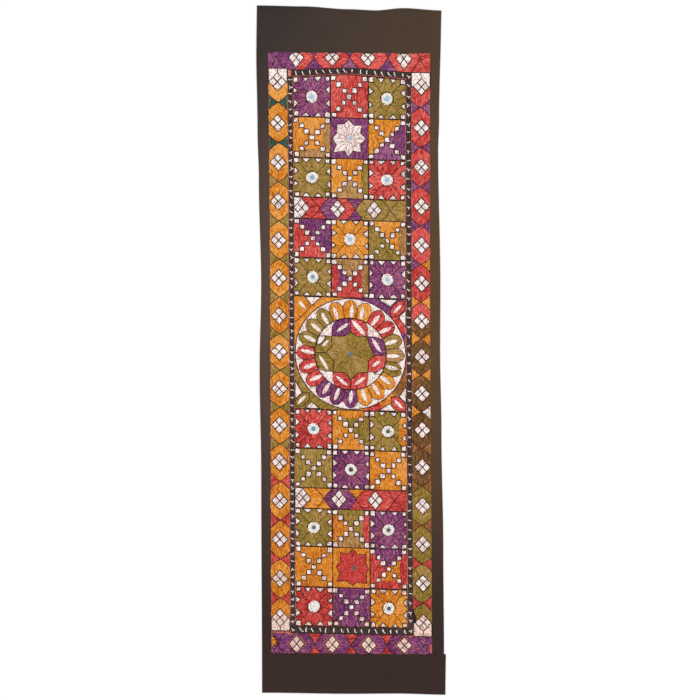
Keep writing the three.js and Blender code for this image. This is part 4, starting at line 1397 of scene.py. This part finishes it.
def cotton_strip(name, seam, outer):
    """A strip of cotton between its seam and its hemmed outer edge, given as matching points."""
    width = np.linalg.norm(outer - seam, axis=1, keepdims=True)
    inward = (seam - outer) / width
    first, last = HEM_PROFILE[-1][0], SEAM_PROFILE[0][0]
    stations = [(np.full_like(width, place), height) for place, height in HEM_PROFILE]
    stations += [(first + (width - last - first) * share, COTTON_TOP)
                 for share in np.linspace(0, 1, PLAIN_STATIONS + 2)[1:-1]]
    stations += [(width - place, height) for place, height in SEAM_PROFILE]
    plan, heights = [], []
    for distance, height in stations:
        here = outer + inward * distance
        free = smooth(distance[:, 0] / 8) * smooth((width[:, 0] - distance[:, 0]) / 4)
        plan.append(here)
        heights.append(height + free * ripple(here, 0.14))
    sheet = closed_sheet(np.stack(plan, 1), np.stack(heights, 1), 0.0)
    piece = piece_of(f"cotton_{name}", sheet, cotton_finish)
    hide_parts(f"strip_{name}")
    hem_stitches(outer + inward * HEM_STITCH["in"])
    return piece


def hem_stitches(course):
    """Small stitches of black thread that hold a hem, along a course of points."""
    run = np.concatenate([[0], np.cumsum(np.linalg.norm(np.diff(course, axis=0), axis=1))])
    at = np.arange(HEM_STITCH["pitch"], run[-1] - HEM_STITCH["pitch"], HEM_STITCH["pitch"])
    starts, ends = (np.stack([np.interp(s, run, course[:, axis]) for axis in (0, 1)], 1)
                    for s in (at, at + HEM_STITCH["length"]))
    step = (ends - starts) * 0.25
    put_away(hems, "dark", np.stack([starts, starts + step, ends - step, ends], 1),
             *(HEM_STITCH[key] for key in ("width", "low", "high", "tone")))


def side_strip(name, side, table):
    v = np.linspace(HALF_LENGTH, -HALF_LENGTH, round(PANEL_LENGTH / COTTON_STEP))
    seam = laid(np.stack([np.full_like(v, side * (HALF_WIDTH + SEAM_GAP)), v], 1))
    return cotton_strip(name, seam, np.stack([along_edge(table, seam[:, 1]), seam[:, 1]], 1))


def seam_y(x, side):
    """Where the panel's end lies, a seam's gap away."""
    x = np.atleast_1d(np.asarray(x, float))
    end = laid(np.stack([x - PANEL_SHIFT_X, np.full_like(x, side * HALF_LENGTH)], 1))
    return end[:, 1] + side * SEAM_GAP


def end_strip(name, side, seam_ends, outer_ends, table, length):
    """A strip across the runner, between where its seam and its outer edge start and end."""
    seam_x, outer_x = (np.linspace(*ends, round(length / COTTON_STEP)) for ends in (seam_ends, outer_ends))
    seam = np.stack([seam_x, seam_y(seam_x, side)], 1)
    return cotton_strip(name, seam, np.stack([outer_x, along_edge(table, outer_x)], 1))


cotton_finish = cotton_material()
hems = {}
top_seam = (LEFT_EDGE[1][1], along_edge(RIGHT_EDGE, seam_y(RIGHT_EDGE[0][1], 1))[0])
bottom_seam = (along_edge(LEFT_EDGE, seam_y(0, -1))[0], BOTTOM_STRIP_RIGHT[0])
top_outer = (LEFT_EDGE[0][1], RIGHT_EDGE[0][1])
bottom_outer = (LEFT_EDGE[-1][1], BOTTOM_STRIP_RIGHT[1])
side_strip("left", -1, LEFT_EDGE)
side_strip("right", 1, RIGHT_EDGE)
end_strip("top", 1, top_seam, top_outer, TOP_EDGE, np.ptp(top_outer))
end_strip("bottom", -1, bottom_seam, bottom_outer, BOTTOM_EDGE, np.ptp(bottom_seam))
thread_piece("hem_stitches", "dark", hems["dark"])


# Studio: a white floor, an even sky and one soft light from the upper left

FLOOR_HALF = 7.0
SKY = 0.78
SUN = {"strength": 1.5, "spread": 30, "tilt": 42, "from": 45}
floor_mesh = bpy.data.meshes.new("floor")
floor_mesh.from_pydata([(x * FLOOR_HALF, y * FLOOR_HALF, FLOOR_TOP * MM) for x, y in BLOCK_CORNERS], [],
                       [(0, 1, 2, 3)])
floor = bpy.data.objects.new("floor", floor_mesh)
bpy.context.scene.collection.objects.link(floor)
floor_graph = Graph("floor", 0.9)
floor_graph.join(floor_graph.mix(floor_graph.noise(3.0), (0.9, 0.9, 0.9, 1), (0.93, 0.93, 0.93, 1)))
floor_mesh.materials.append(floor_graph.material)

world = bpy.data.worlds.new("studio")
world.use_nodes = True
world.node_tree.nodes["Background"].inputs["Color"].default_value = (1, 1, 1, 1)
world.node_tree.nodes["Background"].inputs["Strength"].default_value = SKY
bpy.context.scene.world = world
sun = bpy.data.objects.new("sun", bpy.data.lights.new("sun", "SUN"))
sun.data.energy = SUN["strength"]
sun.data.angle = math.radians(SUN["spread"])
sun.rotation_euler = (math.radians(-SUN["tilt"]), 0, math.radians(SUN["from"]))
bpy.context.scene.collection.objects.link(sun)
bpy.context.scene.view_settings.view_transform = "Standard"
